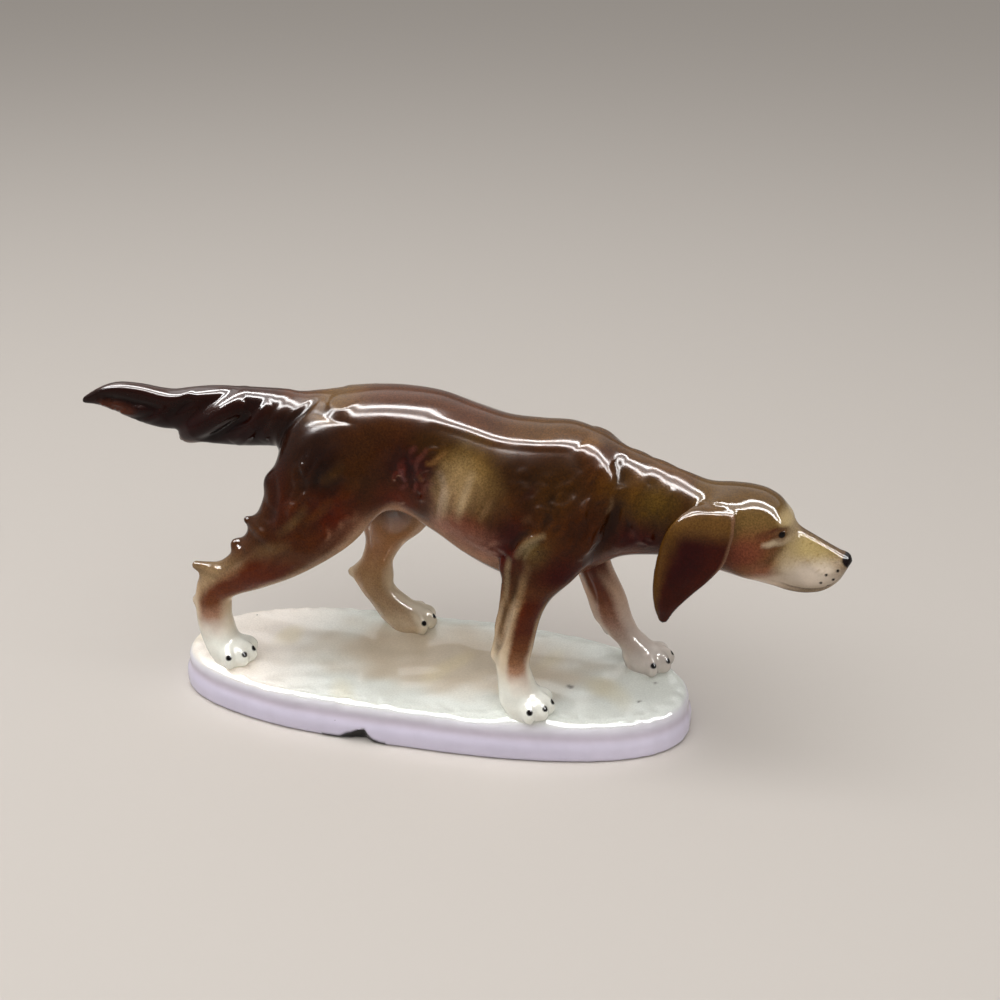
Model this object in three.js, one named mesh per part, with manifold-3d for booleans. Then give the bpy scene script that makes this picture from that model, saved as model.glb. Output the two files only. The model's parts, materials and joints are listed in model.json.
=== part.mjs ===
// A glazed porcelain setter stalking on an oval plinth, built as a figurine maker builds it: hollow slip
// castings for the plinth, torso and head, solid castings for the legs, tail and ears, all stuck up edge to
// edge along thin luting seams before firing. Nothing on it moves.
// Millimetres, +Z up. The dog faces about +X, and its left side is +Y. The plinth stands on z = 0.
import * as THREE from "three";
import { mergeVertices } from "three/addons/utils/BufferGeometryUtils.js";
import Module from "manifold-3d";

const wasm = await Module();
wasm.setup();

// Driving dimensions: plinth, whose oval is laid out from the paws that stand on it
const plinthAhead = 17.5; // rim ahead of the middle of the foremost paw
const plinthBehind = 20.5; // rim behind the middle of the hindmost paw
const plinthBeside = 12; // rim beside the middles of the paws
const plinthHeight = 13;
const plinthPower = 2.45; // power of the oval's superellipse: 2 is an ellipse, more is squarer
const plinthWall = 4;
const topPlate = 4;
const footBand = 7.2; // height of the proud band round the foot
const slabInset = 1.8; // how far the slab above the band stands in from it
const edgeRound = 0.7; // soft arris at the foot
const chipAt = -17.6; // where along the front of the foot a flake has broken off
const chipWidth = 18.4;
const chipHeight = 5.1;

// Driving dimensions: castings and seams
const slipGap = 0.3; // thickness of a luting seam
const castWall = 3.4; // wall of the hollow castings
const ventWidth = 5; // hole under the belly that lets air out of the torso in firing
const heading = -5; // degrees that the dog is turned on its plinth

// Driving dimensions: dog, with heights measured from the top of the plinth
const chestClearance = 36.5; // brisket above the plinth
const chestDepth = 50.5;
const chestWidth = 35;
const loinDepth = 39;
const loinWidth = 30;
const loinRise = 5; // highest point of the back above the withers
const hipDepth = 36;
const hipWidth = 33;
const trunkLength = 64; // hip joint to shoulder joint
const rumpLength = 22; // hip joint to the back of the rump
const neckLength = 45; // shoulder joint to the collar seam behind the ears
const neckDepth = 26;
const neckWidth = 19.5;
const headLength = 43.5; // collar seam to the tip of the nose
const skullDepth = 27.4;
const skullWidth = 21.5;
const muzzleLength = 16.5; // stop to the tip of the nose
const muzzleDepth = 17.3;
const muzzleWidth = 12.6;
const nosePad = { length: 4, width: 5.4, height: 3.8 };
const eyeSize = 3.2;
const pollDrop = 12; // top of the skull below the withers
const earLength = 37;
const earThickness = 4.6;
const tailLength = 67; // tail seam to the tip
const tailDepth = 19; // bone and feather together
const tailThickness = 12;
const toeLength = 9;
const toeWidth = 4.2;
const toeHeight = 6.4;
const toePitch = 3.1; // from one toe to the next across the paw
const pawTrack = 18; // middle of a paw from the dog's middle plane
const stepAhead = 29; // left fore paw ahead of the shoulder joint
const stepBehind = 34; // right hind paw behind the hip joint
const shoulderTrack = 9.5; // top of the foreleg from the middle plane
const hipTrack = 8;
const foreStump = 1.5; // length of the foreleg stumps on the torso below the brisket
const hindStump = 8; // length of the hind leg stumps below the belly

// Places that follow from them
const shoulderX = 36;
const hipX = shoulderX - trunkLength;
const collarX = shoulderX + neckLength;
const noseX = collarX + headLength;
const stopX = noseX - muzzleLength;
const tailSeamX = hipX - rumpLength;
const backLine = chestClearance + chestDepth; // withers
const pollLine = backLine - pollDrop;
const bellyLine = backLine + loinRise - loinDepth; // underside of the loin
const foreSeamZ = chestClearance - foreStump;
const hindSeamZ = bellyLine - hindStump;
const plinthBack = hipX - stepBehind - plinthBehind;
const plinthFront = shoulderX + stepAhead + plinthAhead;
const plinthMiddle = (plinthBack + plinthFront) / 2;
const plinthLength = plinthFront - plinthBack;
const plinthWidth = 2 * (pawTrack + plinthBeside);
const rumpAt = (share) => hipX - share * rumpLength;
const trunkAt = (share) => hipX + share * trunkLength;
const neckAt = (share) => shoulderX + share * neckLength;
const skullAt = (share) => collarX + share * (stopX - collarX);
const muzzleAt = (share) => stopX + share * muzzleLength;

// How finely the castings are faceted
const trunkSides = 24;
const limbSides = 16;
const ringStep = 4;
const ovalPoints = 72;

// Solids and cuts

function solidOf(geometry) {
  const bare = geometry.clone();
  bare.deleteAttribute("normal");
  bare.deleteAttribute("uv");
  const merged = mergeVertices(bare, 1e-4);
  const meshOf = (triVerts) =>
    new wasm.Mesh({ numProp: 3, vertProperties: merged.attributes.position.array, triVerts });
  const made = new wasm.Manifold(meshOf(new Uint32Array(merged.index.array)));
  if (made.volume() > 0) return made;
  return new wasm.Manifold(meshOf(new Uint32Array(merged.index.array).reverse()));
}

const joined = (solids) => solids.reduce((whole, next) => whole.add(next));

// What of a solid lies between two heights.
function between(solid, low, high) {
  const wide = 2 * (plinthLength + tailLength + headLength);
  const slab = new THREE.BoxGeometry(wide, wide, high - low).translate(0, 0, (low + high) / 2);
  return solid.intersect(solidOf(slab));
}

function meshOf(name, solid, material) {
  const { vertProperties, triVerts } = solid.getMesh();
  const geometry = new THREE.BufferGeometry();
  geometry.setAttribute("position", new THREE.BufferAttribute(vertProperties, 3));
  geometry.setIndex(new THREE.BufferAttribute(triVerts, 1));
  geometry.computeVertexNormals();
  const mesh = new THREE.Mesh(geometry, material);
  mesh.name = name;
  return mesh;
}

// A closed skin over a stack of rings that all have the same number of points. Each end closes on a point.
function skin(firstPoint, rings, lastPoint) {
  const count = rings[0].length;
  const points = [firstPoint, ...rings.flat(), lastPoint];
  const last = points.length - 1;
  const faces = [];
  for (let k = 0; k < count; k++) {
    const next = (k + 1) % count;
    faces.push(0, 1 + next, 1 + k);
    for (let r = 0; r < rings.length - 1; r++) {
      const low = 1 + r * count;
      const high = low + count;
      faces.push(low + k, low + next, high + next, low + k, high + next, high + k);
    }
    const top = 1 + (rings.length - 1) * count;
    faces.push(last, top + k, top + next);
  }
  const geometry = new THREE.BufferGeometry().setFromPoints(points);
  return geometry.setIndex(faces);
}

// Outlines and lofts

// A row is [position, low edge, high edge, half width, middle across]; the last is 0 where it is left out.
function outlineOf(rows) {
  const positions = Float64Array.from(rows, (row) => row[0]);
  const sections = rows.flatMap(([, low, high, half, middle = 0]) => [low, high, half, middle]);
  const values = Float64Array.from(sections);
  const curve = new THREE.CubicInterpolant(positions, values, 4);
  return (position) => {
    const [low, high, half, middle] = curve.evaluate(position);
    return { low, high, half, middle };
  };
}

// Ring positions from one end to the other, closer together where an end is rounded.
function ringPositions(from, to, roundFrom, roundTo) {
  const roundSteps = 4;
  const places = [];
  for (let k = 1; k < roundSteps && roundFrom; k++) {
    places.push(from + roundFrom * (1 - Math.cos((k / roundSteps) * (Math.PI / 2))));
  }
  const start = from + roundFrom;
  const end = to - roundTo;
  const steps = Math.max(1, Math.round((end - start) / ringStep));
  for (let k = 0; k <= steps; k++) places.push(start + ((end - start) * k) / steps);
  for (let k = roundSteps - 1; k > 0 && roundTo; k--) {
    places.push(to - roundTo * (1 - Math.cos((k / roundSteps) * (Math.PI / 2))));
  }
  return places;
}

// Elliptical rings through an outline. A lengthwise loft runs along X with its edges in Z, and an upright one
// runs along Z with its edges in X. grow moves the whole skin out, or in where it is negative.
function loft(outline, span) {
  const { lengthwise = false, from, to, roundFrom = 0, roundTo = 0, grow = 0, sides = limbSides } = span;
  const place = (along, edge, across) =>
    lengthwise ? new THREE.Vector3(along, across, edge) : new THREE.Vector3(edge, across, along);
  const middleOf = ({ low, high }) => (low + high) / 2;
  const rings = ringPositions(from, to, roundFrom, roundTo).map((position) => {
    const section = outline(position);
    const fromEnd = roundFrom ? Math.min(1, (position - from) / roundFrom) : 1;
    const toEnd = roundTo ? Math.min(1, (to - position) / roundTo) : 1;
    const round = Math.sqrt(1 - (1 - fromEnd) ** 2) * Math.sqrt(1 - (1 - toEnd) ** 2);
    const reach = ((section.high - section.low) / 2 + grow) * round;
    const half = (section.half + grow) * round;
    return Array.from({ length: sides }, (_, k) => {
      const angle = (k / sides) * 2 * Math.PI;
      const edge = middleOf(section) + reach * Math.cos(angle);
      return place(position, edge, section.middle + half * Math.sin(angle));
    });
  });
  const endPoint = (position) => place(position, middleOf(outline(position)), outline(position).middle);
  return solidOf(skin(endPoint(from), rings, endPoint(to)));
}

// A lock of coat: a cone from inside a casting out to its tip.
function lock(root, tip, width) {
  const along = tip.clone().sub(root);
  const cone = new THREE.ConeGeometry(width / 2, along.length(), 8);
  const upright = new THREE.Vector3(0, 1, 0);
  cone.applyQuaternion(new THREE.Quaternion().setFromUnitVectors(upright, along.clone().normalize()));
  const middle = root.clone().add(tip).divideScalar(2);
  return solidOf(cone.translate(middle.x, middle.y, middle.z));
}

// A rounded swelling: an ellipsoid about a middle point.
function swelling(middle, { length, width, height }) {
  const ball = new THREE.SphereGeometry(1, 12, 8).rotateX(Math.PI / 2);
  return solidOf(ball.scale(length / 2, width / 2, height / 2).translate(middle.x, middle.y, middle.z));
}

// Outlines of the dog

// Back and head as one line, so that the two castings meet in the same section at the collar.
const spineRow = (x, lift, depth, width) => [x, backLine + lift - depth, backLine + lift, width / 2];
const headRow = (x, drop, depth, width) => [x, pollLine - drop - depth, pollLine - drop, width / 2];
const spine = outlineOf([
  spineRow(tailSeamX, -7, 9, 12),
  spineRow(rumpAt(0.82), -2, 19, 22),
  spineRow(rumpAt(0.455), 0.2, 29, 31),
  spineRow(hipX, 2, hipDepth, hipWidth),
  spineRow(trunkAt(0.19), loinRise - 0.7, loinDepth - 0.7, loinWidth + 1),
  spineRow(trunkAt(0.34), loinRise, loinDepth, loinWidth),
  spineRow(trunkAt(0.5), loinRise - 0.5, (loinDepth + chestDepth) / 2 - 1.4, loinWidth + 1),
  spineRow(trunkAt(0.66), 2, chestDepth - 3.9, chestWidth - 2),
  spineRow(trunkAt(0.81), 0, chestDepth - 1.9, chestWidth),
  spineRow(trunkAt(0.97), 0, chestDepth, chestWidth),
  spineRow(neckAt(0.18), 0.5, chestDepth - 2, chestWidth - 2),
  spineRow(neckAt(0.355), -1.5, chestDepth - 8.5, chestWidth - 6),
  spineRow(neckAt(0.535), -5, neckDepth + 7.5, neckWidth + 4.5),
  spineRow(neckAt(0.71), -7.5, neckDepth + 3.2, neckWidth + 1.5),
  spineRow(neckAt(0.89), -10, neckDepth, neckWidth),
  headRow(skullAt(0.11), 0.4, skullDepth - 2.6, skullWidth - 2),
  headRow(skullAt(0.335), 0, skullDepth - 1, skullWidth - 0.5),
  headRow(skullAt(0.555), 0, skullDepth, skullWidth),
  headRow(skullAt(0.74), 1.2, skullDepth - 0.4, skullWidth - 1.5),
  headRow(skullAt(0.89), 4, skullDepth - 2.6, skullWidth - 3.5),
  headRow(stopX, 7.5, muzzleDepth + 5, muzzleWidth + 3),
  headRow(muzzleAt(0.18), 10.4, muzzleDepth + 2.3, muzzleWidth + 1),
  headRow(muzzleAt(0.425), 12.4, muzzleDepth, muzzleWidth),
  headRow(muzzleAt(0.665), 14, muzzleDepth - 3.3, muzzleWidth - 1),
  headRow(muzzleAt(0.85), 14.8, muzzleDepth - 6.6, muzzleWidth - 3),
  headRow(noseX, 15.9, muzzleDepth - 12.8, muzzleWidth - 7),
]);
const rumpRound = 4;
const noseRound = 2.5;

// Half width of the head or neck at a place on its side, and the widest there below its middle.
function sideOf(x, z) {
  const { low, high, half } = spine(x);
  const middle = (low + high) / 2;
  if (z <= middle) return half;
  return half * Math.sqrt(Math.max(0, 1 - ((z - middle) / (high - middle)) ** 2));
}

// The tail runs back from its seam, so its rows go from the tip to the root in rising x.
const tailRow = (share, drop, depth, thickness) => [
  tailSeamX - share * tailLength, backLine - drop - depth, backLine - drop, thickness / 2,
];
const tailOutline = outlineOf([
  tailRow(1, 11.5, 1.4, 1.8),
  tailRow(0.91, 7.2, tailDepth - 13.4, tailThickness - 8),
  tailRow(0.81, 4.4, tailDepth - 8.9, tailThickness - 6.8),
  tailRow(0.69, 3.8, tailDepth - 4.4, tailThickness - 6),
  tailRow(0.57, 4.3, tailDepth - 3.4, tailThickness - 5),
  tailRow(0.5, 4.2, tailDepth - 1.2, tailThickness - 4.4),
  tailRow(0.42, 3, tailDepth - 0.8, tailThickness - 3.6),
  tailRow(0.3, 1.5, tailDepth, tailThickness - 2.8),
  tailRow(0.15, 0.7, tailDepth, tailThickness - 1.6),
  tailRow(0, 0.3, tailDepth - 1.2, tailThickness),
  tailRow(-0.12, 0.3, tailDepth - 1, tailThickness + 1),
]);

// A leg's rows below its seam are placed from its paw: [share of the height of the seam, behind, ahead, half
// width, share of the way in from the paws' track to the joint's]; the last is 0 where it is left out. Those
// above are placed from its joint on the torso, with heights from the brisket or the belly, not shares. Its
// locks are placed in the same two ways.
const upperArm = [[16.5, -6, 15.5, 7.2, 0.6], [26.5, -6, 17, 7, 0.8], [36.5, -2, 16, 5, 1]];
const haunch = [[18, -16, 19, 8, 0.85], [28, -12, 14, 5, 1]];
const shoulder = { joint: shoulderX, jointLine: chestClearance, jointTrack: shoulderTrack, seam: foreSeamZ };
const hip = { joint: hipX, jointLine: bellyLine, jointTrack: hipTrack, seam: hindSeamZ };
const legs = {
  foreleg_right: {
    ...shoulder,
    side: -1,
    paw: shoulderX + 0.3,
    toeReach: 8.4,
    below: [
      [0, -6.3, 6.2, 5.8], [0.08, -7.8, 7.7, 6.6], [0.195, -8.2, 6.7, 6.3], [0.31, -8.6, 3.4, 5.1],
      [0.425, -9, 1.2, 4.7], [0.655, -9.2, 2.1, 4.9],
    ],
    above: [[2.5, -7.3, 8.5, 6.2, 0.35], [8.5, -6.5, 13, 6.8, 0.45], ...upperArm],
    locks: [{ root: [-6, 0.77], tip: [-11.3, 0.47], width: 5 }],
    upperLocks: [],
  },
  foreleg_left: {
    ...shoulder,
    side: 1,
    paw: shoulderX + stepAhead,
    toeReach: 8,
    below: [
      [0, -6.4, 6.1, 5.8], [0.08, -7.4, 7.2, 6.6], [0.165, -8, 5.2, 6.2], [0.25, -10, 0.5, 5.2],
      [0.31, -12.6, -1.8, 5], [0.425, -16, -4.2, 4.7], [0.655, -19.5, -7, 4.9],
    ],
    above: [[2.5, 4, 16.5, 6.2, 0.35], [8.5, 1, 16.5, 6.8, 0.45], ...upperArm],
    locks: [{ root: [-10.5, 0.48], tip: [-14.5, 0.235], width: 5 }],
    upperLocks: [],
  },
  hindleg_right: {
    ...hip,
    side: -1,
    paw: hipX - stepBehind,
    toeReach: 8.2,
    below: [
      [0, -5.5, 6.5, 5.8], [0.06, -7, 7.5, 6.5], [0.15, -8.6, 5.5, 6.2], [0.26, -9.9, 2, 5],
      [0.395, -10.2, 1.5, 4.6], [0.53, -9.6, 4, 4.8], [0.64, -8, 15, 5.2], [0.755, -1.2, 24.7, 5.8],
      [0.89, 5.4, 34.4, 6.6, 0.15],
    ],
    above: [
      [-6, -23.8, 9.2, 7.6, 0.3], [2, -20.3, 15.3, 8.6, 0.5], [10, -18.3, 19, 9, 0.7], ...haunch,
    ],
    locks: [
      { root: [0, 0.655], tip: [-9.7, 0.727], width: 8 }, { root: [-5, 0.44], tip: [-12, 0.42], width: 5 },
    ],
    upperLocks: [{ root: [-16, -4.4], tip: [-26, -3.8], width: 7 }],
  },
  hindleg_left: {
    ...hip,
    side: 1,
    paw: hipX + 13.5,
    toeReach: 9.8,
    below: [
      [0, -6.5, 6.5, 5.8], [0.06, -10, 9.2, 6.2], [0.115, -12, 8, 5.8], [0.17, -13.8, 3.5, 5.4],
      [0.26, -16.8, -4, 5], [0.395, -19.2, -6.5, 4.8], [0.53, -16.2, -5.4, 4.6], [0.685, -14.5, -1, 5.2],
      [0.82, -15, 5.3, 6, 0.15], [0.955, -17, 9.5, 7, 0.25],
    ],
    above: [[-2, -8, 25, 8, 0.45], [6, -12, 24, 8.6, 0.65], ...haunch],
    locks: [{ root: [-12, 0.395], tip: [-21.6, 0.375], width: 8 }],
    upperLocks: [],
  },
};

// Height of a share of the way from the paw's sole to the seam.
const legHeight = ({ seam }, share) => slipGap + share * (seam - slipGap);

function legOutline(leg) {
  const { side, paw, below, joint, jointLine, jointTrack, above } = leg;
  const track = (inwards) => side * (pawTrack + (jointTrack - pawTrack) * inwards);
  return outlineOf([
    ...below.map(([share, behind, ahead, half, inwards = 0]) => [
      legHeight(leg, share), paw + behind, paw + ahead, half, track(inwards),
    ]),
    ...above.map(([z, behind, ahead, half, inwards]) => [
      jointLine + z, joint + behind, joint + ahead, half, track(inwards),
    ]),
  ]);
}

// An ear hangs flat against the side of the head and neck: [share of its length, behind, ahead, thinner by].
const earTop = 4; // root below the top of the skull
const earRows = [
  [1, -7, -5, 3], [0.86, -8.6, -2.4, 1.4], [0.73, -9.3, 1.2, 0.6], [0.56, -9.2, 6.4, 0.2],
  [0.4, -8.4, 10.3, 0], [0.24, -7, 11.8, 0], [0.12, -4.6, 12.3, 0.6], [0.04, -1, 12, 1.6], [0, 2, 10.5, 2.8],
];

function earOutline(side) {
  return outlineOf(
    earRows.map(([share, behind, ahead, thinner]) => {
      const z = pollLine - earTop - share * earLength;
      const half = (earThickness - thinner) / 2;
      const across = sideOf(collarX + (behind + ahead) / 2, z) + slipGap + half;
      return [z, collarX + behind, collarX + ahead, half, side * across];
    }),
  );
}

// Castings

// The plinth's oval at a height, drawn in by an inset.
function oval(z, inset) {
  const a = plinthLength / 2 - inset;
  const b = plinthWidth / 2 - inset;
  const reach = (v) => Math.sign(v) * Math.abs(v) ** (2 / plinthPower);
  return Array.from({ length: ovalPoints }, (_, k) => {
    const angle = (k / ovalPoints) * 2 * Math.PI;
    return new THREE.Vector3(a * reach(Math.cos(angle)), b * reach(Math.sin(angle)), z);
  });
}

// The flake is cut through the foot of the front wall: a slope up to the right and a steep broken end.
function chip() {
  const edge = [
    [0, 0], [0.25, 0.32], [0.5, 0.7], [0.61, 0.92], [0.74, 1], [0.77, 0.62], [0.81, 0.31], [1, 0],
  ];
  const outline = edge.map(([along, up]) => new THREE.Vector2((along - 0.5) * chipWidth, up * chipHeight));
  const below = [new THREE.Vector2(chipWidth / 2, -1), new THREE.Vector2(-chipWidth / 2, -1)];
  const through = 2 * (plinthWall + slabInset);
  const flake = new THREE.ExtrudeGeometry(new THREE.Shape([...outline, ...below]), {
    depth: through, bevelEnabled: false,
  });
  flake.rotateX(Math.PI / 2).translate(chipAt, -plinthWidth / 2 + through / 2, 0);
  return solidOf(flake);
}

function plinth() {
  const ceiling = plinthHeight - topPlate;
  const rings = [
    oval(ceiling, slabInset + plinthWall),
    oval(0, plinthWall),
    oval(0, edgeRound),
    oval(edgeRound, 0),
    oval(footBand - edgeRound, 0),
    oval(footBand, edgeRound),
    oval(footBand + 0.6, slabInset),
    oval(plinthHeight - 1.4, slabInset),
    oval(plinthHeight - 0.4, slabInset + 0.4),
    oval(plinthHeight, slabInset + 1.4),
  ];
  const body = skin(new THREE.Vector3(0, 0, ceiling), rings, new THREE.Vector3(0, 0, plinthHeight));
  return solidOf(body).subtract(chip());
}

function headSkin(grow) {
  return loft(spine, {
    lengthwise: true, from: collarX + slipGap / 2 - grow, to: noseX + grow, roundTo: noseRound,
    grow, sides: trunkSides,
  });
}

// The nose pad, and on each side the brow, the eye and the hanging upper lip.
function faceSwellings() {
  const at = (x, y, drop) => new THREE.Vector3(x, y, pollLine - drop);
  const eye = { length: eyeSize, width: eyeSize, height: eyeSize };
  const eyeX = skullAt(0.89);
  const eyeDrop = 11;
  const eyeSpread = sideOf(eyeX, pollLine - eyeDrop) - eyeSize / 2;
  const pair = [-1, 1].flatMap((side) => [
    swelling(at(eyeX - 2.5, side * (eyeSpread - 2), 7.6), { length: 10, width: 5.4, height: 5 }),
    swelling(at(eyeX, side * eyeSpread, eyeDrop), eye),
    swelling(at(noseX - 8.5, side * (muzzleWidth / 2 - 2.8), 22.4), { length: 14, width: 6, height: 8.6 }),
  ]);
  return [swelling(at(noseX - nosePad.length / 2, 0, 18), nosePad), ...pair];
}

function head() {
  const hollow = loft(spine, {
    lengthwise: true, from: collarX - slipGap, to: stopX - castWall, roundTo: castWall * 2, grow: -castWall,
  });
  return joined([headSkin(0), ...faceSwellings()]).subtract(hollow);
}

function trunkSkin(grow) {
  return loft(spine, {
    lengthwise: true, from: tailSeamX - grow, to: collarX - slipGap / 2 + grow, roundFrom: rumpRound,
    grow, sides: trunkSides,
  });
}

// Locks of a leg in its own middle plane, each end placed by where it is along and up from a point of it.
function locksOf(leg, locks, fromX, heightOf) {
  const outline = legOutline(leg);
  return locks.map(({ root, tip, width }) => {
    const across = outline(heightOf(root[1])).middle;
    const at = ([x, up]) => new THREE.Vector3(fromX + x, across, heightOf(up));
    return lock(at(root), at(tip), width);
  });
}

function tailStub() {
  return loft(tailOutline, { lengthwise: true, from: tailSeamX, to: tailSeamX + 0.12 * tailLength });
}

function legStump(leg) {
  const topOfLeg = leg.jointLine + leg.above.at(-1)[0];
  const seamSide = leg.seam + slipGap / 2;
  const stump = loft(legOutline(leg), { from: seamSide, to: topOfLeg, roundTo: 5 });
  const locks = locksOf(leg, leg.upperLocks, leg.joint, (up) => leg.jointLine + up);
  return between(joined([stump, ...locks]), seamSide, topOfLeg);
}

// The hollow is open at the collar and at the vent.
function torso() {
  const hollow = loft(spine, {
    lengthwise: true, from: tailSeamX + rumpRound + castWall, to: collarX + slipGap,
    roundFrom: castWall * 2, grow: -castWall,
  });
  const vent = new THREE.CylinderGeometry(ventWidth / 2, ventWidth / 2, loinDepth, 16);
  vent.rotateX(Math.PI / 2).translate(trunkAt(0.34), 0, bellyLine);
  return joined([trunkSkin(0), tailStub(), ...Object.values(legs).map(legStump)])
    .subtract(hollow)
    .subtract(solidOf(vent));
}

function tail() {
  return loft(tailOutline, {
    lengthwise: true, from: tailSeamX - tailLength, to: tailSeamX - slipGap, roundFrom: 1,
  });
}

// Four toes side by side at the front of the paw, the middle two ahead of the others.
function toesOf({ side, paw, toeReach }) {
  const size = { length: toeLength, width: toeWidth, height: toeHeight };
  return [-1.5, -0.5, 0.5, 1.5].map((step) => {
    const back = toeLength / 2 + 0.9 * (Math.abs(step) - 0.5) * 2;
    const across = side * pawTrack + step * toePitch;
    return swelling(new THREE.Vector3(paw + toeReach - back, across, slipGap + toeHeight / 2), size);
  });
}

function legCasting(leg) {
  const seamSide = leg.seam - slipGap / 2;
  const shank = loft(legOutline(leg), { from: slipGap, to: seamSide });
  const locks = locksOf(leg, leg.locks, leg.paw, (share) => legHeight(leg, share));
  return between(joined([shank, ...toesOf(leg), ...locks]), slipGap, seamSide);
}

function ear(side) {
  const top = pollLine - earTop;
  const leaf = loft(earOutline(side), { from: top - earLength, to: top, roundFrom: 2, roundTo: 2 });
  return leaf.subtract(headSkin(slipGap)).subtract(trunkSkin(slipGap));
}

// Glazes, one for each way the castings are sprayed

const glaze = (color) => new THREE.MeshStandardMaterial({ color, roughness: 0.08, metalness: 0 });
const ivoryGlaze = glaze(0xe9e4da);
const coatGlaze = glaze(0x4a2f14);
const faceGlaze = glaze(0x8a6a40);
const earGlaze = glaze(0x3a2210);
const flagGlaze = glaze(0x2a160c);
const legGlaze = glaze(0x9a7a58);

// Assembly

const dog = new THREE.Group();
dog.position.set(-plinthMiddle, 0, plinthHeight);
dog.add(
  meshOf("torso", torso(), coatGlaze),
  meshOf("head", head(), faceGlaze),
  meshOf("ear_left", ear(1), earGlaze),
  meshOf("ear_right", ear(-1), earGlaze),
  meshOf("tail", tail(), flagGlaze),
  ...Object.entries(legs).map(([name, leg]) => meshOf(name, legCasting(leg), legGlaze)),
);
const turned = new THREE.Group();
turned.rotation.z = THREE.MathUtils.degToRad(heading);
turned.add(dog);

const figurine = new THREE.Group();
figurine.add(meshOf("plinth", plinth(), ivoryGlaze), turned);

// The origin is the middle of the figurine's box, on the table.
const middle = new THREE.Box3().setFromObject(figurine, true).getCenter(new THREE.Vector3());
const placed = new THREE.Group();
figurine.position.set(-middle.x, -middle.y, 0);
placed.add(figurine);

export default placed;
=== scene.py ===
import json
import math

import bmesh
import bpy
import numpy as np
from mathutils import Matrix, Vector


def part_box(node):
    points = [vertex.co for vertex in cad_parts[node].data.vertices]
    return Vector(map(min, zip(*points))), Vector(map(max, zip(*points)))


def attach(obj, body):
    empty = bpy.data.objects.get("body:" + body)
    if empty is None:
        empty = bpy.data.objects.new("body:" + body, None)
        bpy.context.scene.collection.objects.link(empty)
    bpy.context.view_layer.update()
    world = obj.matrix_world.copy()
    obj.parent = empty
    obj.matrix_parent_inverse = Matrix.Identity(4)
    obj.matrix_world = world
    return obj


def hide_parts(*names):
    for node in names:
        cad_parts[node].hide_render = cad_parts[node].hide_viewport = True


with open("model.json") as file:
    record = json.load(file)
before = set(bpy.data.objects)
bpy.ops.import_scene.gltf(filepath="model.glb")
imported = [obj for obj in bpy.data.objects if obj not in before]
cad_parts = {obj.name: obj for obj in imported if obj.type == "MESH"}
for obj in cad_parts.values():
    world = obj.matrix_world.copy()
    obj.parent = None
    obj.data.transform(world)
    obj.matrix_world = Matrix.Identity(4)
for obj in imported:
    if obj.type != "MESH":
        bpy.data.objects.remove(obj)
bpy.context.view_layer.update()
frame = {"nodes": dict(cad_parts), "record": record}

mm = 0.001
plinthLow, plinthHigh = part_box("plinth")
print("frame loaded, nodes:", len(frame["nodes"]))

# The dog is modelled in its own frame in mm: x to the nose, y to its left, z up from the plinth's top
stance = {
    "heading": -5.0,  # degrees that the dog is turned on the plinth
    "track": 18.0,    # how far the paws are from the dog's middle
    "waist": 12.0,    # x between the fore and hind legs
    "cell": 0.58,     # grain of the clay
}
heading = math.radians(stance["heading"])
standAt = np.array([(plinthLow.x + plinthHigh.x) / 2, (plinthLow.y + plinthHigh.y) / 2, plinthHigh.z])


def turned(vectors):
    c, s = math.cos(heading), math.sin(heading)
    x, y, z = vectors.T
    return np.column_stack([x * c - y * s, x * s + y * c, z])


def soft(value, low, high):
    t = np.clip((value - low) / (high - low), 0, 1)
    return t * t * (3 - 2 * t)


def ripple(points, size, seed):
    # a cloudy field from about -1 to 1 with features of about that size
    waves = 7
    rng = np.random.default_rng(seed)
    total = 0
    for _ in range(waves):
        direction = rng.normal(size=points.shape[1])
        direction *= 2 * np.pi / size * rng.uniform(0.6, 1.5) / np.linalg.norm(direction)
        total = total + np.sin(points @ direction + rng.uniform(0, 6.28))
    return total / waves * 1.6


def curveThrough(rows):
    table = np.array(rows, float)
    place, value = table[:, 0], table[:, 1:]
    slope = np.gradient(value, place, axis=0)

    def at(s):
        s = np.clip(s, place[0], place[-1])
        k = np.clip(np.searchsorted(place, s) - 1, 0, len(place) - 2)
        step = (place[k + 1] - place[k])[..., None]
        t = (s - place[k])[..., None] / step
        return (
            value[k] * (1 + 2 * t) * (1 - t) ** 2
            + slope[k] * step * t * (1 - t) ** 2
            + value[k + 1] * t * t * (3 - 2 * t)
            + slope[k + 1] * step * t * t * (t - 1)
        )

    return at


def smoothMax(a, b, blend):
    # the larger of two fields, with a fillet where they meet
    return np.maximum(a, b) + np.maximum(blend - np.abs(a - b), 0) ** 2 / (4 * blend)


def withMiddle(rows, across):
    # rows that don't say where their middle is across the dog have it here
    return [(*row, across)[:5] for row in rows]


evenOvals = ((0, 0.0), (1, 0.0))


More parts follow.
